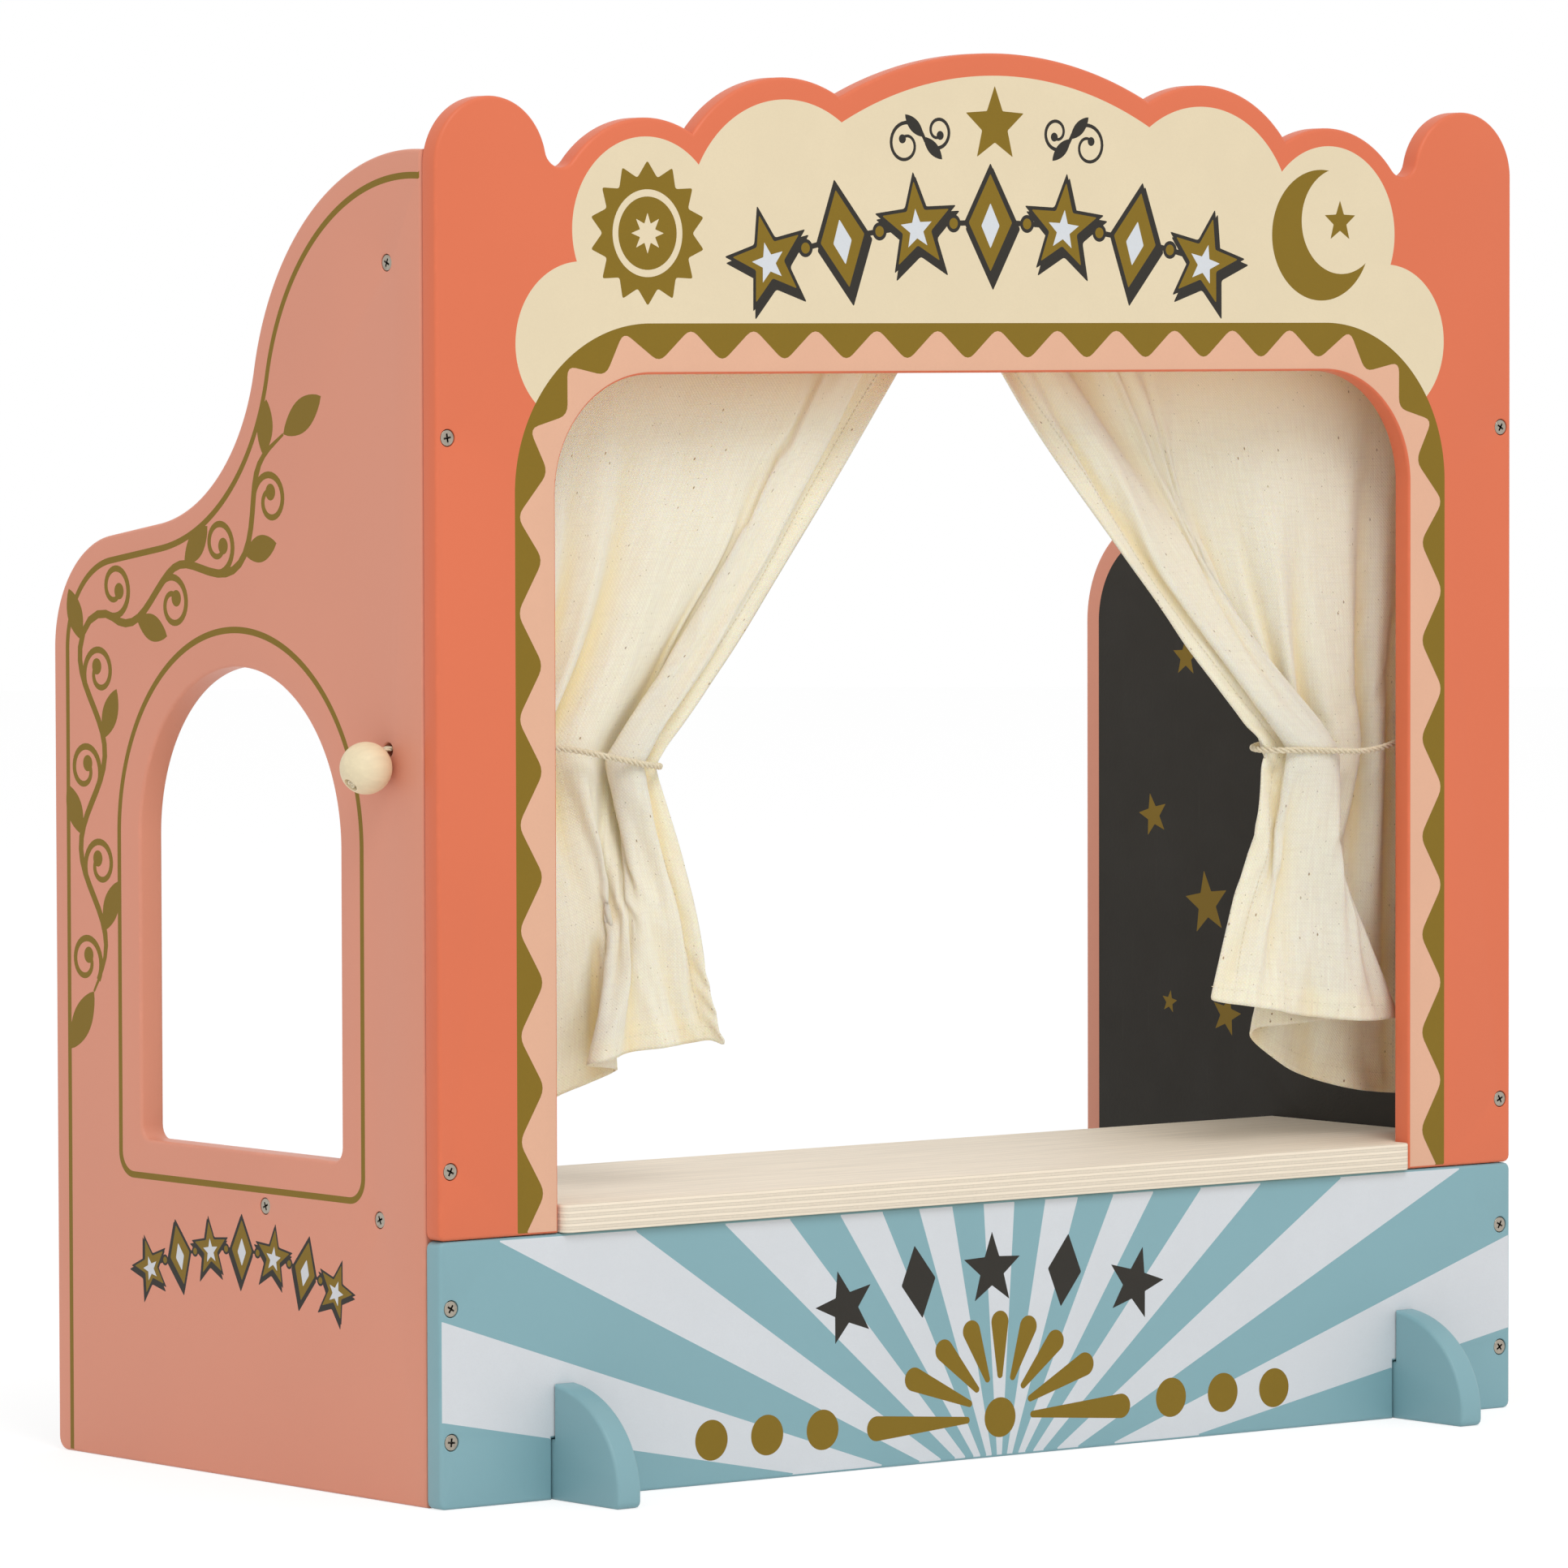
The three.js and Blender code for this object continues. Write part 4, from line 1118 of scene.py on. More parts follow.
def stitch_growth():
    """Short threads set end to end along the carrier line."""
    growth = Growth("Hem stitches", Pitch="Float", Length="Float", Width="Float", Material="Material")
    line = growth.wire(0, "GeometryNodeMeshToCurve", {}, {"Mesh": growth.given("Geometry")})
    spaced = growth.wire(0, "GeometryNodeResampleCurve", {"mode": "LENGTH"}, {
        "Curve": line, "Length": growth.given("Pitch")})
    thread = growth.wire(0, "GeometryNodeMeshUVSphere", {}, {"Segments": 6, "Rings": 4, "Radius": 0.5})
    width = growth.given("Width")
    size = growth.wire(0, "ShaderNodeCombineXYZ", {}, {"X": growth.given("Length"), "Y": width, "Z": width})
    way = growth.wire(0, "FunctionNodeAlignRotationToVector", {"axis": "X"}, {
        "Vector": growth.wire(0, "GeometryNodeInputTangent")})
    sewn = growth.wire(0, "GeometryNodeInstanceOnPoints", {}, {
        "Points": spaced, "Instance": thread, "Rotation": way, "Scale": size})
    return growth.finished(sewn)


def screw_growth():
    """One screw on each carrier point, turned as the point's attribute says."""
    growth = Growth("Screws", Screw="Object")
    screw = growth.wire("Geometry", "GeometryNodeObjectInfo", {}, {
        "Object": growth.given("Screw"), "As Instance": True})
    way = growth.wire(0, "GeometryNodeInputNamedAttribute", {"data_type": "QUATERNION"}, {"Name": "turn"})
    placed = growth.wire(0, "GeometryNodeInstanceOnPoints", {}, {
        "Points": growth.given("Geometry"), "Instance": screw, "Rotation": way})
    return growth.finished(placed)


# Arch. Prints are placed in millimetres across from its middle and up from the floor.

ZIGZAG_TOP = (19.4, 5.0)
ZIGZAG_SIDE = (20.2, 7.0)
ZIGZAG_PITCH = 33.45
ZIGZAG_SIDE_PITCH = 44.1
ZIGZAG_TIPS = 12
ZIGZAG_CORNER_TIPS = 6
ZIGZAG_CORNER_START = math.radians(9.9)
ZIGZAG_CORNER_STEP = math.radians(13.6)
ZIGZAG_SHOULDER = 8.8
ZIGZAG_SHOULDER_STEP = 18.2
ZIGZAG_EASE = 4.6
BAND_WIDTH = 21.4
BAND_CORNER = 71
CLOUD_LOBES = ((224.7, 483.7, 34.4), (190.5, 531.5, 39), (116, 534, 53))
CLOUD_DOME = (0, 413.8, 185)
CLOUD_RIDGE = 560
SUN = (-190, 530)
SUN_RADIUS = 30.5
SUN_TEETH = 14
SUN_RING = (18.4, 15.4)
SUN_HEART = 8.6
MOON = (186, 531)
MOON_RADIUS = 29
MOON_BITE = 23.5
MOON_BITE_ASIDE = 13.5
MOON_TILT = math.radians(28)
MOON_STAR = (197, 537, 9.5)
TOP_STAR = (-1.5, 577.5, 17)
SCROLLS = (41, 572)
SCROLL_WIDTH = 1.7
SCROLL_WAY = 1.25
SCROLL_CURLS = (10.5, 8.2)
SCROLL_LEAF = (14, 5.5)
ARCH_GARLAND = (-4, 535.5, 460, 41, 19.5)

# A garland's measures as shares of the size of its stars
STRING_SHARE = 0.12
LOZENGE_SHARES = (0.62, 1.08)
STAR_HEART_SHARE = 0.46
LOZENGE_HEART_SHARES = (0.26, 0.5)
SHADE_SHARE = 0.07
OUTLINE_SHARES = (1.26, 1.22)
LINK_SHARES = (0.2, 0.12)


def scallop_half():
    """Right half of the scalloped top, from the middle out to the right edge."""
    s = boards()
    half = s.width / 2
    crown = (0, s.crown_height - s.crown_radius)
    post = (half - s.post_radius, s.crown_height - s.post_drop - s.post_radius)
    outer = (post[0] - s.outer_inward, s.crown_height - s.outer_drop - s.outer_radius)
    inner = (outer[0] - s.inner_inward, s.crown_height - s.inner_drop - s.inner_radius)
    first = upper_crossing(crown, s.crown_radius, inner, s.inner_radius)
    second = upper_crossing(inner, s.inner_radius, outer, s.outer_radius)
    fillet = upper_crossing(outer, s.outer_radius + s.valley_fillet, post, s.post_radius + s.valley_fillet)
    return np.vstack((
        arc(*crown, s.crown_radius, QUARTER, heading(crown, first)),
        arc(*inner, s.inner_radius, heading(inner, first), heading(inner, second)),
        arc(*outer, s.outer_radius, heading(outer, second), heading(outer, fillet)),
        arc(*fillet, s.valley_fillet, heading(fillet, outer), heading(fillet, post)),
        arc(*post, s.post_radius, heading(post, fillet), 0)))


def arch_outline():
    s = boards()
    half = s.width / 2
    opening = half - s.post_width
    right = np.vstack((
        scallop_half(),
        arc(half - s.corner, s.arch_bottom + s.corner, s.corner, 0, -QUARTER),
        [(opening, s.arch_bottom)],
        arc(opening - s.opening_corner, s.opening_top - s.opening_corner, s.opening_corner, 0, QUARTER)))
    return joined(right, mirrored(right))


def opening_band(margin, corner):
    """The round-topped shape that stands margin outside the opening, down past the foot of the arch."""
    s = boards()
    half = s.width / 2 - s.post_width + margin
    top = s.opening_top + margin
    right = np.vstack((
        arc(half - corner, top - corner, corner, QUARTER, 0),
        [(half, s.arch_bottom - 2 * s.corner)]))
    return np.vstack((right, mirrored(right)))


def zigzag():
    """Outer edge of the pink band, which swings between two distances from the opening."""
    s = boards()
    half = s.width / 2 - s.post_width
    middle = (half - s.opening_corner, s.opening_top - s.opening_corner)
    tips = [(ZIGZAG_PITCH / 2 * k, s.opening_top + ZIGZAG_TOP[k % 2]) for k in range(ZIGZAG_TIPS)]
    for k in range(ZIGZAG_CORNER_TIPS):
        turn = ZIGZAG_CORNER_START + ZIGZAG_CORNER_STEP * (ZIGZAG_CORNER_TIPS - 1 - k)
        reach = s.opening_corner + ZIGZAG_TOP[k % 2]
        tips.append((middle[0] + reach * math.cos(turn), middle[1] + reach * math.sin(turn)))
    height = middle[1] - ZIGZAG_SHOULDER
    tips.append((half + ZIGZAG_SIDE[0], height))
    height -= ZIGZAG_SHOULDER_STEP
    k = 1
    while height > s.arch_bottom - ZIGZAG_SIDE_PITCH:
        tips.append((half + ZIGZAG_SIDE[k % 2], height))
        height -= ZIGZAG_SIDE_PITCH / 2
        k += 1
    return softened(np.vstack((mirrored(tips)[:-1], tips)), ZIGZAG_EASE)


def cloud():
    """Round lobes of the cream cloud that follow the scallops."""
    shapes = [circle(sign * x, z, radius) for x, z, radius in CLOUD_LOBES for sign in (-1, 1)]
    shapes.append(circle(*CLOUD_DOME))
    ridge = np.array([(0, CLOUD_RIDGE), *((x, z) for x, z, _ in CLOUD_LOBES[::-1])], float)
    shapes.append(np.vstack((mirrored(ridge), ridge[1:])))
    return shapes


def garland(x, z, radius, step, size, steps=3):
    """Stars and lozenges by turns along a rising arc, each gold and white over a dark shade."""
    reach = (steps + 0.2) * step / radius
    string = arc(x, z - radius, radius, QUARTER - reach, QUARTER + reach)
    prints = [("charcoal_ink", stroke(string, np.full(len(string), size * STRING_SHARE)))]
    shade = size * SHADE_SHARE
    for i in range(-steps, steps + 1):
        turn = i * step / radius
        at = on_ring(x, z - radius, radius, turn)
        if i % 2:
            shape = star(0, 0, size, ease=size * 0.05)
            heart = star(0, 0, size * STAR_HEART_SHARE, ease=0.2)
        else:
            shape = lozenge(*(size * share for share in LOZENGE_SHARES))
            heart = lozenge(*(size * share for share in LOZENGE_HEART_SHARES))
        for finish_name, drawn, scale, shift in (
                ("charcoal_ink", shape, OUTLINE_SHARES[0], (shade, -2 * shade)),
                ("charcoal_ink", shape, OUTLINE_SHARES[1], (0, 0)),
                ("gold_ink", shape, 1, (0, 0)),
                ("white_ink", heart, 1, (0, -shade))):
            prints.append((finish_name, turned_shape(drawn * scale, -turn, at + shift)))
        if i < steps:
            at = on_ring(x, z - radius, radius, turn + step / radius / 2)
            prints.append(("charcoal_ink", circle(*at, size * LINK_SHARES[0], 0.7)))
            prints.append(("gold_ink", circle(*at, size * LINK_SHARES[1], 0.5)))
    return prints


def scrolls():
    """Two curls and two leaves on each side of the middle."""
    shapes = []
    for way, radius in zip((SCROLL_WAY, SCROLL_WAY + math.pi), SCROLL_CURLS):
        shapes.extend(curl(SCROLLS, way, radius, 1.3, -1, SCROLL_WIDTH))
        shapes.append(leaf(SCROLLS, way - 0.5, *SCROLL_LEAF))
    return [("charcoal_ink", side) for shape in shapes for side in (shape, mirrored(shape))]


def arch_prints():
    return [
        *(("cream_ink", shape) for shape in cloud()),
        ("gold_ink", opening_band(BAND_WIDTH, BAND_CORNER)),
        ("pink_ink", zigzag()),
        ("gold_ink", star(*SUN, SUN_RADIUS, SUN_TEETH, 0.78, ease=1.2)),
        ("cream_ink", circle(*SUN, SUN_RING[0])),
        ("gold_ink", circle(*SUN, SUN_RING[1])),
        ("cream_ink", star(*SUN, SUN_HEART, 8, 0.5, ease=0.4)),
        ("gold_ink", crescent(*MOON, MOON_RADIUS, MOON_BITE, MOON_BITE_ASIDE, MOON_TILT)),
        ("gold_ink", star(*MOON_STAR, ease=0.4)),
        *garland(*ARCH_GARLAND),
        ("gold_ink", star(*TOP_STAR, waist=0.44, ease=0.6)),
        *scrolls()]


class AddArch(bpy.types.Operator):
    """Cuts the scalloped arch and prints its cloud, its bands and its ornaments"""
    bl_idname = "theater.add_arch"
    bl_label = "Arch"

    def execute(self, context):
        s = boards()
        holes = front_screw_holes(arch_screw_heights())
        arch = board(
            "arch", arch_outline(), holes, s.front_thickness, s.edge_round, across,
            "coral_lacquer", "coral_lacquer", (arch_prints(), ()))
        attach(arch, "root")
        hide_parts("proscenium_arch")
        return {"FINISHED"}


# Base board and feet. Prints are placed as on the arch.

RAY_FOOT = (0, -20)
RAY_PITCH = math.radians(7.55)
RAY_REACH = 700
RAYS_BESIDE = 10
FAN = (0.4, 17.3)
PETAL_START = 17
PETALS = ((74, 5.4), (57, 5.2), (49, 4.9), (46.5, 4.8), (46.5, 4.8))
DOT_RADIUS = 8.7
DOT_PITCH = 0.8
DOT_HEIGHT = 19
DOT_PLACES = (97.9, 128, 158)
ROW_RING = (-4, -218, 300)
ROW_STEP = 0.137
ROW_STAR = 16.5
ROW_LOZENGE = (9.5, 16)
FOOT_STEPS = 40


def base_outline():
    s = boards()
    half = s.width / 2
    middle = half - s.foot_inset
    slot = s.foot_thickness / 2 + s.slot_gap
    right = np.vstack((
        arc(half - s.corner, s.base_height - s.corner, s.corner, QUARTER, 0),
        arc(half - s.corner, s.corner, s.corner, 0, -QUARTER),
        [(middle + slot, 0), (middle + slot, s.foot_lap), (middle - slot, s.foot_lap), (middle - slot, 0)]))
    return joined(right, mirrored(right))


def rays():
    """White wedges that fan up from a point, one straight up and the others by turns."""
    shapes = []
    for n in range(-RAYS_BESIDE, RAYS_BESIDE + 1, 2):
        ends = [on_ring(*RAY_FOOT, RAY_REACH, RAY_PITCH * (n + side)) for side in (0.5, -0.5)]
        shapes.append(np.array([RAY_FOOT, *ends]))
    return shapes


def fan():
    """Gold petals round a dot."""
    shapes = [circle(*FAN, DOT_RADIUS, DOT_PITCH)]
    for k, (end, tip) in enumerate(PETALS):
        turn = math.pi * k / (2 * len(PETALS) - 2)
        for way in {turn, math.pi - turn}:
            at = on_ring(*FAN, PETAL_START, QUARTER - way)
            shapes.append(teardrop(1.5, tip, end - PETAL_START, at, way))
    return shapes


def base_prints():
    prints = [("white_ink", shape) for shape in rays()]
    prints.extend(("gold_ink", shape) for shape in fan())
    for x in DOT_PLACES:
        for sign in (-1, 1):
            prints.append(("gold_ink", circle(sign * x, DOT_HEIGHT, DOT_RADIUS, DOT_PITCH)))
    for i in range(-2, 3):
        shape = lozenge(*ROW_LOZENGE) if i % 2 else star(0, 0, ROW_STAR, ease=0.3)
        turn = i * ROW_STEP
        prints.append(("charcoal_ink", turned_shape(shape, -turn, on_ring(*ROW_RING, turn))))
    return prints


class AddBase(bpy.types.Operator):
    """Cuts the slotted base board and prints its rays, its petals and its dots"""
    bl_idname = "theater.add_base"
    bl_label = "Base board"

    def execute(self, context):
        s = boards()
        holes = front_screw_holes(base_screw_heights())
        base = board(
            "base_board", base_outline(), holes, s.front_thickness, s.edge_round, across,
            "blue_lacquer", "blue_lacquer", (base_prints(), ()))
        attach(base, "root")
        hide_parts("base_panel")
        return {"FINISHED"}


def foot_outline():
    s = boards()
    middle = s.front_thickness / 2
    reach = s.foot_reach + middle
    rise = s.foot_height - s.foot_upright
    slot = middle + s.slot_gap
    turn = np.linspace(0, QUARTER, FOOT_STEPS)
    round_top = np.column_stack((reach * np.cos(turn), s.foot_upright + rise * np.sin(turn)))
    beyond = round_top[round_top[:, 0] > slot + 2 * s.edge_round]
    slot_top = s.foot_upright + rise * math.sqrt(1 - (slot / reach) ** 2)
    right = np.vstack((
        arc(reach - s.corner, s.corner, s.corner, -QUARTER, 0),
        beyond,
        [(slot, slot_top), (slot, s.foot_lap - JOINT_GAP)]))
    return joined(right, mirrored(right)) + (middle, 0)


class AddFeet(bpy.types.Operator):
    """Cuts the two rounded feet that cross the base board"""
    bl_idname = "theater.add_feet"
    bl_label = "Feet"

    def execute(self, context):
        s = boards()
        for name, sign in SIDES:
            outside = sign * (s.width / 2 - s.foot_inset + s.foot_thickness / 2)
            foot = board(
                f"{name}_fin", foot_outline(), (), s.foot_thickness, s.edge_round, along(outside, sign),
                "blue_lacquer", "blue_lacquer")
            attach(foot, "root")
            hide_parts(f"{name}_foot")
        return {"FINISHED"}


# Side boards. Prints are placed back from the front face of the arch and up from the floor.

PAST_FRONT = -12
PAST_FOOT = -60
OUTER_LINE = (9.5, 12.3)
WINDOW_LINE = ((17.2, 11), (14.4, 8.5))
SIDE_GARLAND = (143.5, 98, 200, 23.5, 12)
VINE_INSET = 30
VINE_SWING = 9.5
VINE_WAVE = 80
VINE_WIDTH = 3.6
VINE_ENDS = (202, 446)
VINE_TAPER = 25
VINE_CURL = 12.5
VINE_LEAF = (24, 11.5)
VINE_END_LEAF = (32, 14)
NIGHT_BORDER = 9.5
NIGHT_WINDOW_CORNER = 12
NIGHT_STARS = {
    "left": ((236, 350, 9.5), (120, 500, 9.5), (84, 452, 6), (178, 378, 6.5), (250, 300, 6),
             (66, 540, 5.6), (252, 210, 8), (50, 380, 9)),
    "right": ((212, 336, 9.5), (235.6, 260.9, 10.5), (196.9, 220.8, 15.5), (223.9, 173.2, 5.6),
              (182.9, 169.3, 10.5), (120, 500, 9.5), (84, 452, 6.0), (150, 352, 7.0), (66, 540, 5.6)),
}


def ogee():
    """Centres of the ogee's three rounds."""
    s = boards()

    def step(angle, span):
        return np.array((math.cos(angle), math.sin(angle))) * span
    hollow_from_top = step(s.ogee_meet, s.ogee_top + s.ogee_hollow)
    shoulder_from_hollow = (
        step(-s.ogee_slope - QUARTER, s.ogee_hollow + s.ogee_shoulder) + step(-s.ogee_slope, s.ogee_run))
    shoulder_back = s.side_reach - s.ogee_shoulder
    top = np.array((shoulder_back - shoulder_from_hollow[0] - hollow_from_top[0], s.side_top - s.ogee_top))
    hollow = top + hollow_from_top
    return top, hollow, hollow + shoulder_from_hollow


def side_outline(inset=0, front=None, low=0):
    """The side board, or a line inside it; a lower front or foot makes it run off the board there."""
    s = boards()
    front = s.side_front if front is None else front
    top, hollow, shoulder = ogee()
    back = s.side_reach - inset
    crown = s.ogee_top - inset
    return joined(
        [(front, low)],
        arc(back - s.heel, low + s.heel, s.heel, -QUARTER, 0),
        arc(*shoulder, s.ogee_shoulder - inset, 0, QUARTER - s.ogee_slope),
        arc(*hollow, s.ogee_hollow + inset, -s.ogee_slope - QUARTER, s.ogee_meet - math.pi),
        arc(*top, crown, s.ogee_meet, math.acos((front - top[0]) / crown)))


def window_outline(grow=0, corner=None):
    """The ticket window, or a line that stands outside it by grow."""
    s = boards()
    corner = s.window_corner if corner is None else corner
    half = (s.side_reach - s.window_front - s.window_rear) / 2
    middle = s.window_front + half
    spring = ogee()[1][1] - s.ogee_hollow - s.window_headroom - half
    low = s.shelf_top - s.shelf_thickness / 2 + s.window_rise - grow
    reach = half + grow
    return joined(
        arc(middle, spring, reach, 0, math.pi),
        arc(middle - reach + corner, low + corner, corner, math.pi, 3 * QUARTER),
        arc(middle + reach - corner, low + corner, corner, -QUARTER, 0))


def vine():
    """Running scrollwork along the ogee: a waving stem with a curl in each bend and leaves between."""
    line = spread(side_outline(VINE_INSET, PAST_FRONT, PAST_FOOT)[1:], 600)
    line = line[(line[:, 1] > VINE_ENDS[0]) & (line[:, 1] < VINE_ENDS[1])]
    span = walked(line)
    waves = round(span[-1] / VINE_WAVE * 2) / 2
    turn = span / span[-1] * waves * 2 * math.pi
    stem = line + left_of(line) * (VINE_SWING * np.sin(turn))[:, None]
    ends = np.minimum(1, np.minimum(span, span[-1] - span) / VINE_TAPER)
    shapes = [stroke(stem[::4], (VINE_WIDTH * (0.35 + 0.65 * ends))[::4])]
    heading_on = np.unwrap(np.arctan2(*np.gradient(stem, axis=0).T[::-1]))
    for k in range(round(2 * waves)):
        side = 1 if k % 2 == 0 else -1
        early = np.searchsorted(turn, (k + 0.12) * math.pi)
        way = heading_on[early] + 0.1 * side
        shapes.extend(curl(stem[early], way, VINE_CURL, 1.25, -side, VINE_WIDTH * 0.86))
        late = np.searchsorted(turn, (k + 0.62) * math.pi)
        shapes.append(leaf(stem[late], heading_on[late] + 0.75 * side, *VINE_LEAF))
    for place, flip in ((0, math.pi), (-1, 0)):
        shapes.append(leaf(stem[place], heading_on[place] + flip, *VINE_END_LEAF))
    return shapes


def side_prints(name):
    """The outer face: a gold line inside the ogee, and round the window a line, a vine and a garland."""
    inks = ("gold_ink", "salmon_lacquer")
    prints = [(paint, side_outline(inset, PAST_FRONT, PAST_FOOT)) for paint, inset in zip(inks, OUTER_LINE)]
    if name == "left":
        prints.extend((paint, window_outline(*line)) for paint, line in zip(inks, WINDOW_LINE))
        prints.extend(("gold_ink", shape) for shape in vine())
        prints.extend(garland(*SIDE_GARLAND))
    return prints


def night_prints(name):
    """The inner face: a dark board with gold stars inside a painted border."""
    board_front = boards().side_front + NIGHT_BORDER
    prints = [("charcoal_board", side_outline(NIGHT_BORDER, board_front, NIGHT_BORDER))]
    if name == "left":
        prints.append(("salmon_lacquer", window_outline(NIGHT_BORDER, NIGHT_WINDOW_CORNER)))
    for i, (x, z, radius) in enumerate(NIGHT_STARS[name]):
        prints.append(("gold_ink", star(x, z, radius, turn=QUARTER + 0.25 * math.sin(5 * i), ease=0.4)))
    return prints


class AddSides(bpy.types.Operator):
    """Cuts the two side boards, the left one with its ticket window, and prints both faces"""
    bl_idname = "theater.add_sides"
    bl_label = "Side boards"

    def execute(self, context):
        s = boards()
        f = fittings()
        for name, sign in SIDES:
            holes = screw_holes([(f.rod_back, f.rod_height), *stage_screw_places()])
            cord_hole = circle(f.rod_back, f.cord_height, f.cord_hole, CORD_HOLE_PITCH)
            holes.append((cord_hole, f.cord_hole_round))
            if name == "left":
                holes.append((window_outline(), s.edge_round))
            side = board(
                f"{name}_side", side_outline(), holes, s.side_thickness, s.edge_round,
                along(sign * s.width / 2, sign), "salmon_lacquer", "salmon_lacquer",
                (side_prints(name), night_prints(name)))
            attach(side, "root")
            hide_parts(f"{name}_side_panel")
        return {"FINISHED"}


# Stage shelf and curtain rod

ROD_SIDES = 64


def shelf_outline():
    s = boards()
    wide = s.width / 2 - s.side_thickness - JOINT_GAP
    narrow = s.width / 2 - s.post_width - s.tongue_gap
    right = np.vstack((
        [(wide, s.shelf_reach), (wide, s.side_front), (narrow, s.side_front)],
        arc(narrow - s.tongue_corner, s.tongue_corner - s.shelf_proud, s.tongue_corner, 0, -QUARTER)))
    return joined(right, mirrored(right))


class AddShelf(bpy.types.Operator):
    """Cuts the plywood stage with its tongue through the opening"""
    bl_idname = "theater.add_shelf"
    bl_label = "Stage"

    def execute(self, context):
        s = boards()

        def place(flat, depth):
            return level(flat, s.shelf_top - depth)
        shelf = board(
            "plywood_stage", shelf_outline(), (), s.shelf_thickness, s.shelf_round, place,
            "birch_veneer", "birch_edge")
        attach(shelf, "root")
        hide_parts("stage_shelf")
        return {"FINISHED"}


def bowed(radius, start, end, steps=6):
    """Radius and height of a round from one way to another about a point."""
    turn = np.linspace(start, end, steps)
    return np.column_stack((radius * np.cos(turn), radius * np.sin(turn)))


class AddRod(bpy.types.Operator):
    """Turns the curtain rod, a dowel with broken edges"""
    bl_idname = "theater.add_rod"
    bl_label = "Curtain rod"

    def execute(self, context):
        s = boards()
        f = fittings()
        half = s.width / 2 - s.side_thickness - JOINT_GAP
        end = bowed(f.rod_round, 0, QUARTER) + (f.rod_radius - f.rod_round, half - f.rod_round)
        upper = np.vstack((end, [(0, half)]))
        profile = np.vstack((upper[::-1] * (1, -1), upper))[::-1]
        points, faces = turned(profile, ROD_SIDES)
        skin = Skin()
        skin.add(aimed(points, (1, 0, 0), (0, f.rod_back, f.rod_height)), faces, "rod_birch")
        rod = skin.made("dowel")
        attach(rod, "root")
        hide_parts("curtain_rod")
        return {"FINISHED"}


# Screws

RECESS_EASE = 0.18
RECESS_RIM = (0.93, -0.12)
RECESS_FLOOR_SHARE = 0.6
SCREW_SEED = 14


def screw_places():
    """Middle of each screw's mouth in the board's face, and the way out of the board."""
    s = boards()
    f = fittings()
    half = s.width / 2
    edge_middle = half - s.side_thickness / 2
    places = []
    for name, sign in SIDES:
        for panel, heights in (("arch", arch_screw_heights()), ("base", base_screw_heights())):
            for label, height in zip(("upper", "lower"), heights):
                at = (sign * edge_middle, 0, height)
                places.append((f"{panel}_screw_{name}_{label}", at, (0, -1, 0)))
        for label, place in zip(("front", "rear"), stage_screw_places()):
            places.append((f"stage_screw_{name}_{label}", (sign * half, *place), (sign, 0, 0)))
        places.append((f"rod_screw_{name}", (sign * half, f.rod_back, f.rod_height), (sign, 0, 0)))
    return places


def screw_shape():
    """A countersunk screw with a cross recess, its head up at the origin."""
    f = fittings()
    lip = f.head_round
    arm, slot, depth = f.recess_arm, f.recess_slot, f.recess_depth
    corners = [(slot, slot), (slot, arm), (-slot, arm), (-slot, slot), (-arm, slot), (-arm, -slot),
               (-slot, -slot), (-slot, -arm), (slot, -arm), (slot, -slot), (arm, -slot), (arm, slot)]
    cross = softened(corners, RECESS_EASE, 3)
    rim = circle(0, 0, f.head_radius - lip, 0.5)
    skin = Skin()
    # The recess walls and floor take a dark finish: painted shade in the hollow.
    for lines, height, metal in (
            ((rim, cross), 0, "nickel_screw"),
            ((cross * RECESS_FLOOR_SHARE,), -depth, "dark_recess")):
        points, triangles, names = printed(lines, (), metal)
        skin.add(level(points, height), triangles, names, smooth=False)
    wall = ((1, 0), RECESS_RIM, (RECESS_FLOOR_SHARE, -depth))
    skin.band([level(cross * share, height) for share, height in wall], "dark_recess", (0, 0, 0))
    profile = [*(bowed(lip, QUARTER, 0, 5) + (f.head_radius - lip, -lip)), (f.shank_radius, -f.head_depth),
               (f.shank_radius, f.point - f.screw_length), (0, -f.screw_length)]
    points, faces = turned(profile, len(rim))
    skin.add(points, faces, "nickel_screw")
    return skin.made("screw_shape", lambda rows: np.asarray(rows) * MM)


class AddScrews(bpy.types.Operator):
    """Sets the fourteen countersunk screws"""
    bl_idname = "theater.add_screws"
    bl_label = "Screws"

    def execute(self, context):
        chance = random.Random(SCREW_SEED)
        shape = screw_shape()
        points, turns, nodes = [], [], []
        for node, at, out in screw_places():
            spin = Quaternion((0, 0, 1), chance.uniform(0, QUARTER))
            way = Vector((0, 0, 1)).rotation_difference(Vector(out)) @ spin
            points.append(np.array(at) - np.array(out) * fittings().head_sink)
            turns.append(way[:])
            nodes.append(node)
        screws = screw_growth().made(
            "screws", in_frame(points), attributes=[("turn", "QUATERNION", turns)], Screw=shape)
        bpy.data.objects.remove(shape)
        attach(screws, "root")
        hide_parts(*nodes)
        return {"FINISHED"}


# Beads and tie cords. Places are counted from the cord hole: in from the board, back, up.

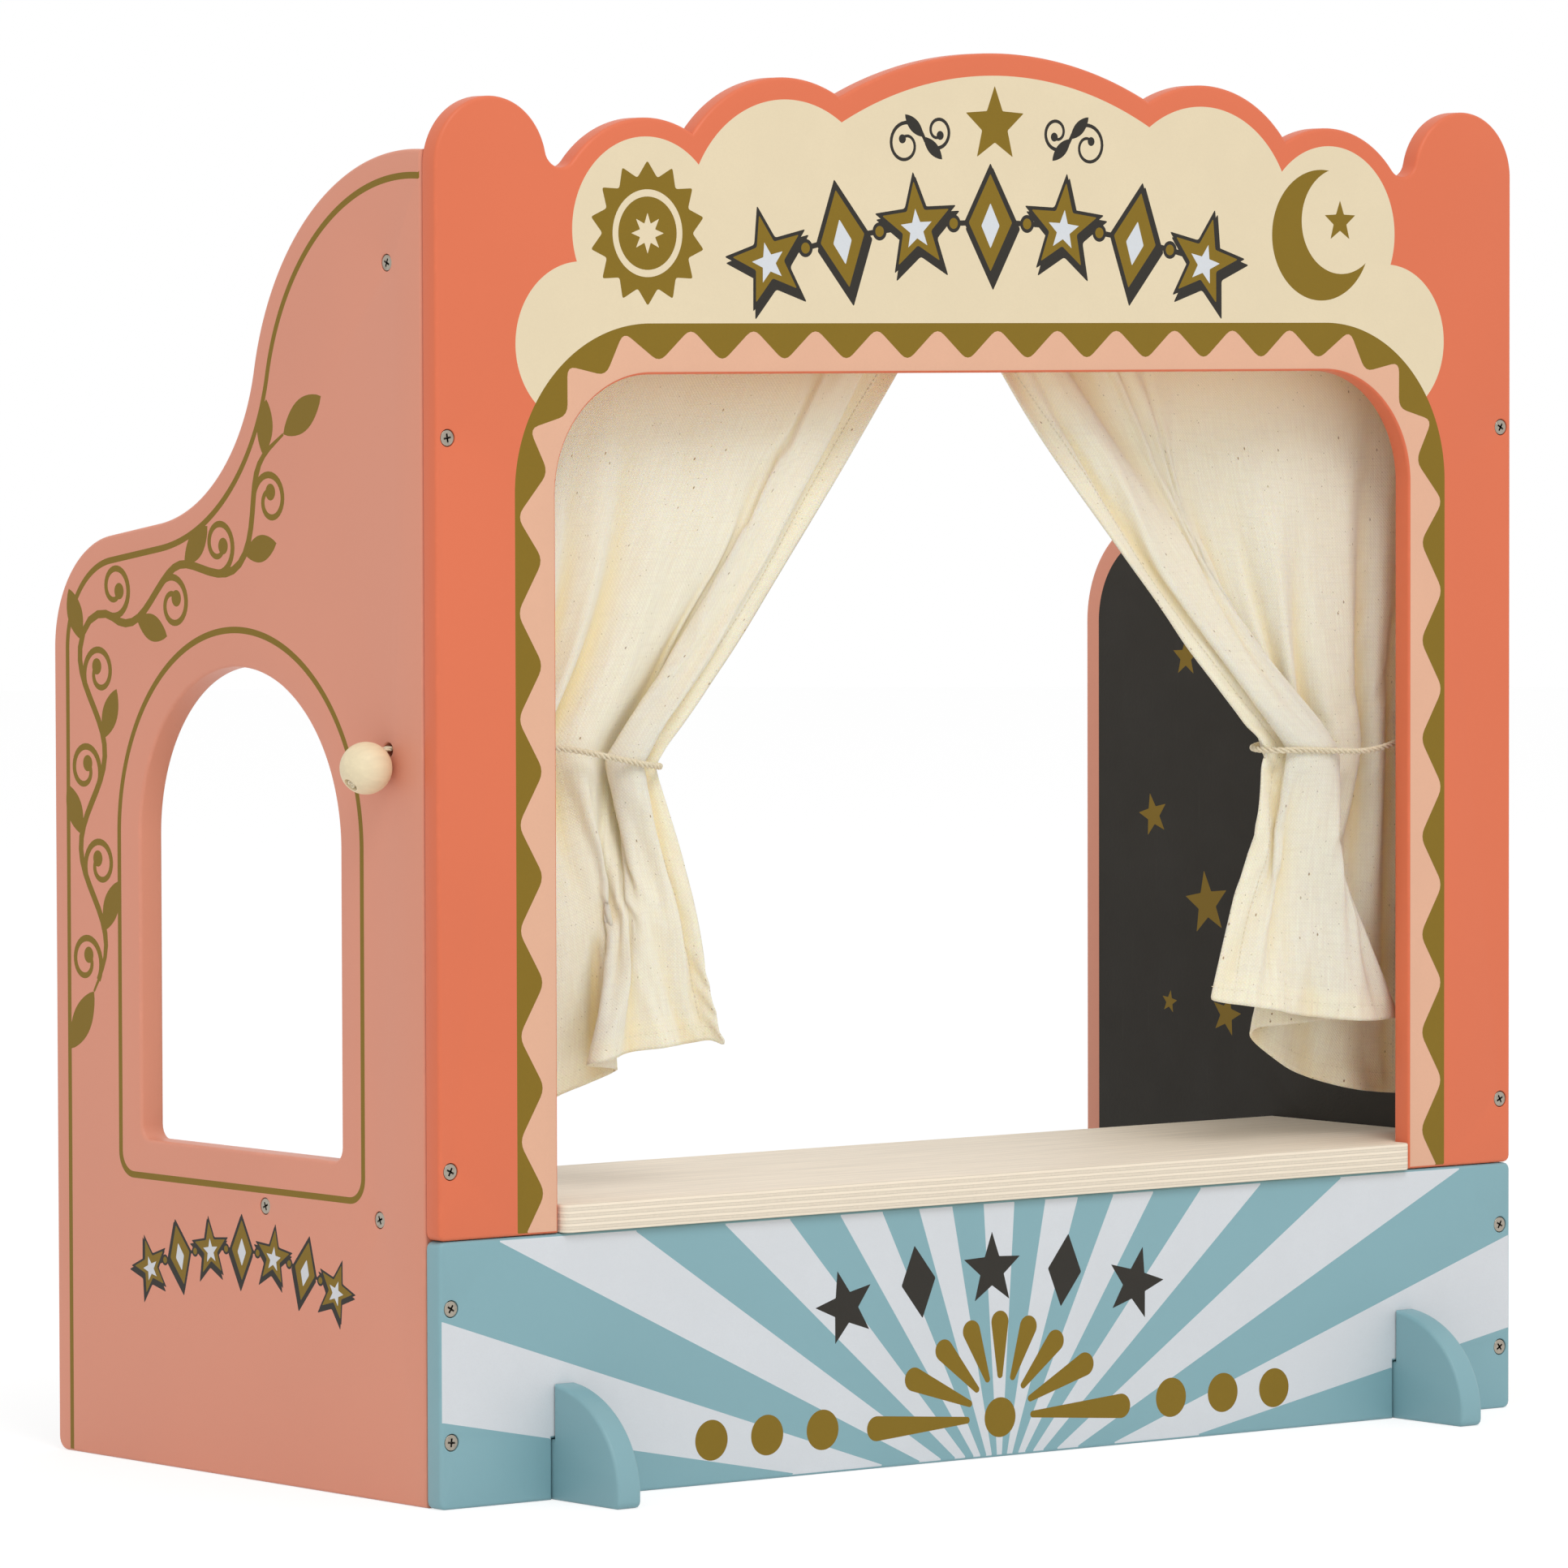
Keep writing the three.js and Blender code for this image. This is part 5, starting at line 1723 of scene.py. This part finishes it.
CORD_ROUTES = {
    "left": (
        (7, -1.3, 0), (14, -1.5, 0), (20, -5.6, 0.1), (27, -10.6, 0.3), (38, -12.6, 0.4),
        (54, -13.2, 0), (76, -13.6, -2.4), (98, -13.6, -6.6), (114, -12.6, -9.6), (124, -8, -10.6),
        (127, 0, -10.4), (124, 7.8, -10), (113, 12.6, -8.8), (94, 13.8, -6.4), (70, 14, -3.6),
        (46, 13.4, -1.4), (30, 11.4, -0.6), (21, 5.8, -0.2), (14, 1.5, 0), (7, 1.3, 0)),
    "right": (
        (7, -1.3, 0), (14, -1.5, 0), (20, -5.4, -2.2), (27, -10.4, -6.4), (34, -13, -10.4),
        (46, -14.4, -13.6), (60, -15, -15.2), (78, -14.6, -14.6), (94, -13.4, -13.8), (105, -8.6, -13.8),
        (108, 0, -13.6), (105, 8, -13), (93, 12.8, -11.6), (74, 14, -9.6), (56, 14, -6.8),
        (40, 13, -4.4), (29, 10.6, -2.6), (21, 5.6, -1), (14, 1.5, 0), (7, 1.3, 0)),
}
CORD_PARTING = 14
LOOP_FULLNESS = (0.9, 1.35)
LOOP_POINTS = 400
END_POINTS = 90
KNOT_POINTS = 120
KNOT_SIZE = 0.56
BORE_CLEARANCE = 0.2
BEAD_LIP = 0.35
BEAD_LIP_SHARE = 0.3
BEAD_STEPS = 44
BEAD_SIDES = 72


def from_hole(places, sign):
    """Places counted from the cord hole, in millimetres in the frame's axes."""
    s = boards()
    f = fittings()
    places = np.asarray(places, float).reshape(-1, 3)
    inner = s.width / 2 - s.side_thickness
    return np.column_stack((
        sign * (inner - places[:, 0]), f.rod_back + places[:, 1], f.cord_height + places[:, 2]))


def bead_middle():
    """Middle of the bead and the way of its bore towards the board, counted from the cord hole."""
    s = boards()
    f = fittings()
    middle = (-(s.side_thickness + JOINT_GAP + f.bead_radius), 0, -f.bead_radius * math.sin(f.bead_tilt))
    return np.array(middle), np.array((math.cos(f.bead_tilt), 0, math.sin(f.bead_tilt)))


def knot_out():
    """How far the middle of the knot is from the middle of the bead."""
    f = fittings()
    return math.sqrt(f.bead_radius ** 2 - f.knot_seat ** 2) - f.knot_seat_depth / 2


def strand(side):
    """One strand from the knot through the bead and the board."""
    s = boards()
    f = fittings()
    middle, way = bead_middle()
    places = np.array([
        middle - way * knot_out(), middle + way * f.bead_radius * 0.85,
        (-s.side_thickness, 0, f.cord_radius / 2), (-s.side_thickness / 3, 0, 0)])
    return places + (0, side * (f.cord_radius + f.strand_gap / 2), 0)


def rope(name, lines, fullness):
    """Twisted cord along lines in millimetres; fullness has one share for each point of each line."""
    f = fittings()
    points, edges = strung(lines)
    return rope_growth().made(
        name, in_frame(points), edges, [("fullness", "FLOAT", np.concatenate(fullness))],
        Radius=f.cord_radius * MM, Lay=f.cord_lay * MM, Material=finish("cotton_yarn"))


def overhand_knot():
    """The line of a tight overhand knot about the origin, its ends joined."""
    turn = np.linspace(0, 2 * math.pi, KNOT_POINTS)
    reach = 2 + np.cos(3 * turn)
    return np.column_stack((
        reach * np.cos(2 * turn), reach * np.sin(2 * turn), 1.5 * np.sin(3 * turn))) * KNOT_SIZE


class AddCords(bpy.types.Operator):
    """Lays the cord loops round the curtains and the strands through the beads"""
    bl_idname = "theater.add_cords"
    bl_label = "Tie cords"

    def execute(self, context):
        s = boards()
        for name, sign in SIDES:
            whole = curve_through([*strand(-1), *CORD_ROUTES[name], *strand(1)[::-1]], 16)
            half = len(whole) // 2
            loop = spread(whole[whole[:, 0] > 2 - s.side_thickness], LOOP_POINTS)
            slim, full = LOOP_FULLNESS
            fullness = slim + (full - slim) * eased(CORD_PARTING - 2, CORD_PARTING + 8, loop[:, 0])
            loop_cord = rope(f"{name}_cord_loop", [from_hole(loop, sign)], [fullness])
            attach(loop_cord, "root")
            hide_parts(f"{name}_tie_cord")
            squash_with_bead(loop_cord, name, sign)
            lines = []
            for run in (whole[:half], whole[half:]):
                kept = run[run[:, 0] < CORD_PARTING]
                lines.append(from_hole(spread(kept, END_POINTS), sign))
            middle, way = bead_middle()
            at = from_hole(middle - way * knot_out(), sign)[0]
            lines.append(aimed(overhand_knot(), (sign * way[0], 0, -way[2]), at))
            stub = rope(f"{name}_cord_end", lines, [np.ones(len(line)) for line in lines])
            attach(stub, f"{name}_bead")
        return {"FINISHED"}


def squash_with_bead(piece, name, sign):
    """Gives a soft piece its own copy of its mesh; it is not drawn towards its side board."""
    s = boards()
    f = fittings()
    longest = max(place[0] for place in CORD_ROUTES[name])
    sign * (s.width / 2 - s.side_thickness) * MM
    1 - f.bead_travel / longest
    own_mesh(piece)


def bead_profile():
    """Radius and height of a ball with a bore and a wider seat for the knot, once round its wall."""
    f = fittings()
    seat = f.knot_seat
    bore = f.cord_radius * 2 + f.strand_gap / 2 + BORE_CLEARANCE
    seat_out, bore_out = seat + BEAD_LIP, bore + BEAD_LIP
    low = -math.acos(seat_out / f.bead_radius)
    high = math.acos(bore_out / f.bead_radius)
    bottom, top = f.bead_radius * math.sin(low), f.bead_radius * math.sin(high)
    outside = bowed(f.bead_radius, low, high, BEAD_STEPS)
    ease = BEAD_LIP * BEAD_LIP_SHARE
    return [
        (bore, bottom + f.knot_seat_depth), (seat, bottom + f.knot_seat_depth), (seat, bottom + BEAD_LIP),
        (seat + ease, bottom + ease), *outside, (bore + ease, top - ease), (bore, top - BEAD_LIP)]


class AddBeads(bpy.types.Operator):
    """Turns the drilled pull beads"""
    bl_idname = "theater.add_beads"
    bl_label = "Beads"

    def execute(self, context):
        points, faces = turned(bead_profile(), BEAD_SIDES, closed=True)
        middle, way = bead_middle()
        for name, sign in SIDES:
            at = from_hole(middle, sign)[0]
            skin = Skin()
            skin.add(aimed(points, (-sign * way[0], 0, way[2]), at), faces, "bead_beech")
            bead = skin.made(f"{name}_ball")
            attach(bead, f"{name}_bead")
            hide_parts(f"{name}_bead")
        return {"FINISHED"}


# Curtains. Lines run from the outer edge at the side board to the inner edge: in from the board, back from
# the rod, and for the hem also up from the stage. Slack is that of the outer and of the inner edge.

CURTAIN_SHAPES = {
    "left": {
        "top": (
            (4, 0), (60, 1), (120, -1), (180, 0.5), (232, -3), (252, -8), (264, 4), (274, 5), (283, -2)),
        "waist": (
            (74, 12.5), (40, 12.5), (30, 10), (28, 4), (35, -6), (41, 8), (48, -7), (55, 8), (62, -7),
            (69, 6), (77, -5), (87, -6), (96, 0), (106, 6), (116, 8), (121, 5.5), (114, 3), (104, 1),
            (99, -2), (100, -7), (107, -11.5), (115, -9.5), (112, -5.5), (117, -2.5), (124, -5)),
        "hem": (
            (48, 24, 26), (12, 22, 24), (5, 17, 25), (12, 13, 27), (34, 19, 30), (62, 9, 33), (86, 14, 40),
            (104, 10, 46), (109, 3, 50), (99, -4, 52), (84, -8, 53), (89, -14, 55), (106, -9, 58),
            (122, -15, 60), (137, -9, 61), (149, -12, 62), (153, -16, 59)),
        "slack": (1.02, 1.0),
    },
    "right": {
        "top": (
            (4, 0), (70, 1), (140, -1), (190, 1), (216, -7), (232, 5), (250, -9), (268, 4), (283, -3)),
        "waist": (
            (16, 0.5), (21, 3.5), (27, 7), (32, 1), (38, -1), (42, 10), (47, 0), (56, -2), (65, 0),
            (71, 11), (77, 2), (83, 12), (89, 3), (95, 12), (101, 6), (97, 1), (78, -0.5), (69, -3),
            (66, -6), (72, -11.5), (85, -13.5), (96, -11), (99, -7.5), (92, -5.5), (91, -3.5), (97, -2),
            (106, -3)),
        "hem": (
            (3, 12, 17), (20, 18, 18), (42, 11, 21), (66, 17, 27), (88, 12, 36), (104, 11, 47),
            (107, 5, 51), (96, 1, 52), (66, 1, 53), (40, -2, 53), (31, -7, 53), (38, -13, 53),
            (62, -17, 54), (88, -11, 57), (118, -17, 61), (147, -11, 65)),
        "slack": (1.02, 1.02),
    },
}
CASING_ROWS = 12
CASING_WRAP = 1.1
STITCH_LINE = 16
CASING_REAR = ((0.6, -STITCH_LINE), (4.6, -9))
CASING_FRONT = ((-4.9, -9), (-0.6, -STITCH_LINE))
UPPER_SHARE = 0.6
GATHER_SHARE = 0.6
SIDE_HEM = 9
STITCH_LIFT_SHARE = 0.75
STITCH_SHARE = 0.78
HELD_ROWS = 2
SETTLING_FRAMES = 10
HEM_HOLD_SHARE = 0.8
# Width and depth of a fold over which the painted fold shade grows to full strength
FOLD_REACH = 5
FOLD_DEPTH = 4.5
CALICO_HANG = {
    "quality": 8, "mass": 0.15, "air_damping": 2.0, "tension_stiffness": 20, "compression_stiffness": 20,
    "shear_stiffness": 8, "bending_stiffness": 0.6, "vertex_group_mass": "held"}
CALICO_TOUCH = {
    "use_collision": False, "use_self_collision": True, "self_distance_min": 1.2 * MM,
    "collision_quality": 3}


def eased(low, high, value):
    share = np.clip((value - low) / (high - low), 0, 1)
    return share * share * (3 - 2 * share)


def casing_line():
    """The cloth round the rod, as back and height from its middle, from the rear flap to the front."""
    f = fittings()
    over = bowed(f.rod_radius + CASING_WRAP, 0, math.pi, 9)
    return spread(curve_through(np.vstack((CASING_REAR, over, CASING_FRONT))), CASING_ROWS + 1)


def upper_rows():
    """How many rows of cloth lie between the casing and the tie."""
    return round((curtain_sizes().rows - CASING_ROWS) * UPPER_SHARE)


def curtain_sheet(name, sign):
    """Rows of points of the gathered, tied cloth, in millimetres, and their flat places."""
    s = boards()
    f = fittings()
    c = curtain_sizes()
    shape = CURTAIN_SHAPES[name]
    inner = s.width / 2 - s.side_thickness
    count = c.columns + 1
    across = np.linspace(0, 1, count)
    top = spread(curve_through(shape["top"]), count)
    waist = spread(curve_through(shape["waist"]), count)
    hem = spread(curve_through(shape["hem"]), count)
    route = np.array(CORD_ROUTES[name][:11])
    waist_rise = f.cord_height - f.rod_height + np.interp(waist[:, 0], route[:, 0], route[:, 2])
    hem_rise = s.shelf_top + hem[:, 2] - f.rod_height
    reach = np.hypot(top[:, 0] - waist[:, 0], waist_rise + STITCH_LINE)
    drop_to_waist = STITCH_LINE + reach * np.interp(across, (0, 1), shape["slack"])
    rows, flat = [], []
    casing = casing_line()
    lengths = walked(casing)
    for (back, rise), length_on in zip(casing, lengths):
        low = eased(0, -STITCH_LINE, rise)
        rows.append(np.column_stack((
            top[:, 0], back + top[:, 1] * low * GATHER_SHARE, np.full(count, rise))))
        flat.append(np.full(count, length_on - lengths[-1]))
    upper = upper_rows()
    for k in range(1, upper + 1):
        down = k / upper
        pull = down ** 1.5
        rows.append(np.column_stack((
            top[:, 0] + (waist[:, 0] - top[:, 0]) * down,
            top[:, 1] * (GATHER_SHARE + 2 * down * (1 - down)) * (1 - pull) + waist[:, 1] * pull,
            -STITCH_LINE + (waist_rise + STITCH_LINE) * down)))
        flat.append(drop_to_waist * down + STITCH_LINE * (1 - down))
    lower = c.rows - CASING_ROWS - upper
    for k in range(1, lower + 1):
        down = k / lower
        open_out = eased(0.0, 1.0, down)
        rows.append(np.column_stack((
            waist[:, 0] + (hem[:, 0] - waist[:, 0]) * down ** 0.9,
            waist[:, 1] + (hem[:, 1] - waist[:, 1]) * open_out,
            waist_rise + (hem_rise - waist_rise) * down)))
        flat.append(drop_to_waist + (c.cut_drop - drop_to_waist) * down)
    grid = np.array(rows)
    grid[..., 0] = sign * (inner - grid[..., 0])
    grid[..., 1] += f.rod_back
    grid[..., 2] += f.rod_height
    return grid, np.stack((np.broadcast_to(across * c.cut_width, grid.shape[:2]), -np.array(flat)), axis=2)


def settle_cloth(sheet, flat, held, hem):
    """Lets the tied cloth hang: the rows at the rod and the tie stay, and the hem gives a little."""
    sheet.shape_key_add(name="tied", from_mix=False)
    cut = sheet.shape_key_add(name="cut", from_mix=False)
    flat = flat.reshape(-1, 2) * MM
    cut.data.foreach_set("co", np.column_stack((flat[:, 0], np.zeros(len(flat)), flat[:, 1])).ravel())
    pins = sheet.vertex_groups.new(name="held")
    pins.add(held, 1.0, "REPLACE")
    pins.add(hem, HEM_HOLD_SHARE, "REPLACE")
    cloth = sheet.modifiers.new("cloth", "CLOTH")
    give(cloth.settings, CALICO_HANG)
    cloth.settings.rest_shape_key = cut
    give(cloth.collision_settings, CALICO_TOUCH)
    cloth.point_cache.frame_start = 1
    cloth.point_cache.frame_end = SETTLING_FRAMES
    for frame in range(1, SETTLING_FRAMES + 1):
        bpy.context.scene.frame_set(frame)
    settled_mesh = evaluated(sheet)
    places = np.empty(len(settled_mesh.vertices) * 3)
    settled_mesh.vertices.foreach_get("co", places)
    bpy.data.meshes.remove(settled_mesh)
    sheet.modifiers.remove(cloth)
    sheet.shape_key_clear()
    sheet.data.vertices.foreach_set("co", places)
    sheet.data.update()
    bpy.context.scene.frame_set(1)


def cloth_mesh(name, grid, flat):
    """A single layer of cloth with its flat places as UV, in metres."""
    rows, columns = grid.shape[:2]
    faces = quads(rows - 1, columns - 1, columns)
    mesh = bpy.data.meshes.new(name)
    mesh.from_pydata(in_frame(grid).tolist(), [], faces)
    mesh.polygons.foreach_set("use_smooth", [True] * len(faces))
    corners = np.array(faces).ravel()
    layer = mesh.uv_layers.new(name="UVMap")
    layer.uv.foreach_set("vector", (flat.reshape(-1, 2)[corners] * MM).ravel())
    return placed(name, mesh)


def mark_fold_shade(sheet, shape):
    """Notes how deep each point of the cloth lies between the folds beside it, from 0 to 1, as the strength
    of the shade painted into the folds.
    """
    places = np.empty(shape[0] * shape[1] * 3)
    sheet.data.vertices.foreach_get("co", places)
    back = places.reshape(*shape, 3)[..., 1] / MM
    padded = np.pad(back, ((0, 0), (FOLD_REACH, FOLD_REACH)), "edge")
    around = [padded[:, k:k + shape[1]] for k in range(2 * FOLD_REACH + 1)]
    depth = eased(0, FOLD_DEPTH, back - np.mean(around, axis=0))
    sheet.data.attributes.new("fold_depth", "FLOAT", "POINT").data.foreach_set("value", depth.ravel())


def sewn_line(mesh, picked, lift):
    """Points just off a cloth along some of its vertices, on one side of it."""
    normals = np.array([mesh.vertices[i].normal[:] for i in picked])
    points = np.array([mesh.vertices[i].co[:] for i in picked])
    return points + normals * lift


def mark_hems(sheet, flat):
    """Groups the points that lie in a hem; gives the rows of points that the seams follow."""
    c = curtain_sizes()
    rows, columns = flat.shape[:2]
    numbers = np.arange(rows * columns).reshape(rows, columns)
    in_hem = -flat[..., 1] > c.cut_drop - c.hem
    hem_row = np.argmax(in_hem[:, columns // 2])
    side_hem = max(1, round(columns * SIDE_HEM / c.cut_width))
    in_hem[:, :side_hem] = True
    in_hem[:, -side_hem:] = True
    sheet.vertex_groups.new(name="hem").add(numbers[in_hem].tolist(), 1.0, "REPLACE")
    below_casing = numbers[CASING_ROWS + 1:-1]
    seams = numbers[hem_row], below_casing[:, side_hem], below_casing[:, -1 - side_hem]
    return [seam.tolist() for seam in seams]


class AddCurtains(bpy.types.Operator):
    """Hangs the two calico curtains, gathered on the rod and tied back, with their stitched hems"""
    bl_idname = "theater.add_curtains"
    bl_label = "Curtains"

    def execute(self, context):
        c = curtain_sizes()
        for name, sign in SIDES:
            grid, flat = curtain_sheet(name, sign)
            sheet = cloth_mesh(f"{name}_cloth", grid, flat)
            numbers = np.arange(flat[..., 0].size).reshape(flat.shape[:2])
            waist_row = CASING_ROWS + upper_rows()
            held = (*range(CASING_ROWS + 1), *range(waist_row - HELD_ROWS, waist_row + HELD_ROWS + 1))
            settle_cloth(sheet, flat, numbers[list(held)].ravel().tolist(), numbers[-1].tolist())
            mark_fold_shade(sheet, grid.shape[:2])
            seams = mark_hems(sheet, flat)
            give(sheet.modifiers.new("smooth", "SUBSURF"), {"levels": 1, "render_levels": 1})
            fine = evaluated(sheet)
            lift = c.thickness * STITCH_LIFT_SHARE * MM
            lines = [sewn_line(fine, seam, side * lift) for side in (-1, 1) for seam in seams]
            stitches = stitch_growth().made(
                f"{name}_hem_stitches", *strung(lines), Pitch=c.stitch * MM,
                Length=c.stitch * STITCH_SHARE * MM, Width=c.thread * MM, Material=finish("cotton_yarn"))
            give(sheet.modifiers.new("wall", "SOLIDIFY"), {
                "thickness": c.thickness * 2 * MM, "offset": 0, "vertex_group": "hem",
                "thickness_vertex_group": 0.5})
            mesh = evaluated(sheet)
            bpy.data.objects.remove(sheet)
            mesh.materials.clear()
            mesh.materials.append(finish("calico_cloth"))
            curtain = placed(f"{name}_drape", mesh)
            for piece in (curtain, stitches):
                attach(piece, "root")
                squash_with_bead(piece, name, sign)
            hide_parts(f"{name}_curtain")
            c.cut_width * MM
            (c.cut_drop + flat[0, 0, 1]) * MM
        return {"FINISHED"}


# Studio

CAMERA_YAW = math.radians(-38.0863)
CAMERA_PITCH = math.radians(2.6996)
CAMERA_ROLL = math.radians(0.1438)
CAMERA_LENS = 215.95
CAMERA_PLACE = (-2583.5, -3145.9, 484.9)
KEY_PLACE = (-1.3, -3.6, 4.6)
KEY_TARGET = (0, 0, 0.3)
KEY_POWER = 105
KEY_SIZE = 2.6
SKY_LIGHT = 0.72
FLOOR_RADIUS = 9
FLOOR_GLOW = 1.2
FLOOR_GLOW_SHARE = 0.58
WHITE = (1, 1, 1, 1)


def lamp(name, kind, place, target, **settings):
    light = bpy.data.lights.new(name, kind)
    give(light, settings)
    made = placed(name, light)
    made.location = place
    made.rotation_euler = (Vector(target) - Vector(place)).to_track_quat("-Z", "Y").to_euler()


def seen_directly(nodes):
    """1 where the camera, a gloss or a glass ray sees the surface, and 0 for light that it gives others."""
    path = nodes.node("ShaderNodeLightPath")
    rays = [Wire(nodes, path.outputs[label]) for label in
            ("Is Camera Ray", "Is Glossy Ray", "Is Transmission Ray")]
    return rays[0].most(rays[1]).most(rays[2])


def studio_floor(name, colour):
    """Pale paper that shows white, but keeps the shadow that lies on it."""
    paper = Finish(name, colour)
    paper.set(Base_Color=paper.tint(colour), Roughness=0.9, Specular_IOR_Level=0.1)
    glow = paper.wire(0, "ShaderNodeEmission", {}, {"Color": WHITE, "Strength": FLOOR_GLOW})
    mixed = paper.wire(0, "ShaderNodeMixShader", {}, {
        0: seen_directly(paper) * FLOOR_GLOW_SHARE, 1: Wire(paper, paper.shader.outputs[0]), 2: glow})
    output = [node for node in paper.tree.nodes if node.type == "OUTPUT_MATERIAL"][0]
    paper.feed(output.inputs["Surface"], mixed)


class AddStudio(bpy.types.Operator):
    """Sets up the floor, the soft lights and the camera"""
    bl_idname = "theater.add_studio"
    bl_label = "Studio"

    def execute(self, context):
        scene = context.scene
        mesh = bpy.data.meshes.new("floor")
        shape = bmesh.new()
        bmesh.ops.create_circle(shape, cap_ends=True, segments=96, radius=FLOOR_RADIUS)
        shape.to_mesh(mesh)
        shape.free()
        mesh.materials.append(finish("studio_floor"))
        placed("floor", mesh)

        lamp("key", "AREA", KEY_PLACE, KEY_TARGET, energy=KEY_POWER, size=KEY_SIZE, shape="DISK")

        world = bpy.data.worlds.new("studio")
        world.use_nodes = True
        scene.world = world
        nodes = Nodes(world.node_tree)
        world.node_tree.nodes.clear()
        soft, white = (
            nodes.wire(0, "ShaderNodeBackground", {}, {"Color": WHITE, "Strength": strength})
            for strength in (SKY_LIGHT, 1.0))
        mixed = nodes.wire(0, "ShaderNodeMixShader", {}, {0: seen_directly(nodes), 1: soft, 2: white})
        nodes.node("ShaderNodeOutputWorld", {}, {"Surface": mixed})

        camera = bpy.data.cameras.new("camera")
        give(camera, {"lens": CAMERA_LENS, "sensor_width": 36, "clip_end": 100})
        scene.camera = placed("camera", camera)
        scene.camera.matrix_world = (
            Matrix.Translation(in_frame(CAMERA_PLACE)[0]) @ Matrix.Rotation(CAMERA_YAW, 4, "Z")
            @ Matrix.Rotation(QUARTER - CAMERA_PITCH, 4, "X") @ Matrix.Rotation(-CAMERA_ROLL, 4, "Z"))
        scene.view_settings.view_transform = "Standard"
        return {"FINISHED"}


FINISHES = {
    "coral_lacquer": (lacquer, "coral"),
    "salmon_lacquer": (lacquer, "salmon"),
    "blue_lacquer": (lacquer, "blue"),
    "pink_ink": (ink, "pink"),
    "gold_ink": (ink, "gold"),
    "cream_ink": (ink, "cream"),
    "white_ink": (ink, "white"),
    "charcoal_ink": (ink, "charcoal"),
    "charcoal_board": (chalk_paint, "charcoal"),
    "birch_veneer": (veneer, "veneer", STAGE_GRAIN),
    "birch_edge": (ply_edge, "veneer"),
    "rod_birch": (veneer, "dowel", ROD_GRAIN),
    "bead_beech": (veneer, "beech", BEAD_GRAIN, BEAD_FIGURE_SHARE),
    "calico_cloth": (calico_cloth, "calico"),
    "cotton_yarn": (cotton_yarn, "cotton"),
    "nickel_screw": (nickel_plate, "nickel"),
    # Painted shade in the screws' cross recess.
    "dark_recess": (nickel_plate, "tarnish"),
    "studio_floor": (studio_floor, "paper"),
}

GROUPS = {
    "theater_boards": BoardSizes,
    "theater_fittings": FittingSizes,
    "theater_curtains": CurtainSizes,
    "theater_colours": Colours,
}
OPERATORS = (
    AddStudio, AddArch, AddBase, AddSides, AddShelf, AddFeet, AddRod, AddCurtains, AddCords, AddBeads,
    AddScrews)


class TheaterPanel(bpy.types.Panel):
    """Sizes, colours and building steps of the puppet theater"""
    bl_idname = "THEATER_PT_panel"
    bl_label = "Puppet Theater"
    bl_space_type = "VIEW_3D"
    bl_region_type = "UI"
    bl_category = "Theater"

    def draw(self, context):
        for operator in OPERATORS:
            self.layout.operator(operator.bl_idname)
        for name, group in GROUPS.items():
            box = self.layout.box()
            for field in group.__annotations__:
                box.prop(getattr(context.scene, name), field)


def register():
    for group in GROUPS.values():
        bpy.utils.register_class(group)
    for operator in OPERATORS:
        bpy.utils.register_class(operator)
    bpy.utils.register_class(TheaterPanel)
    for name, group in GROUPS.items():
        setattr(bpy.types.Scene, name, bpy.props.PointerProperty(type=group))


def unregister():
    for name in GROUPS:
        delattr(bpy.types.Scene, name)
    for item in (TheaterPanel, *OPERATORS[::-1], *list(GROUPS.values())[::-1]):
        bpy.utils.unregister_class(item)


def main():
    register()
    for operator in OPERATORS:
        getattr(bpy.ops.theater, operator.bl_idname.split(".")[1])()


if __name__ == "__main__":
    main()
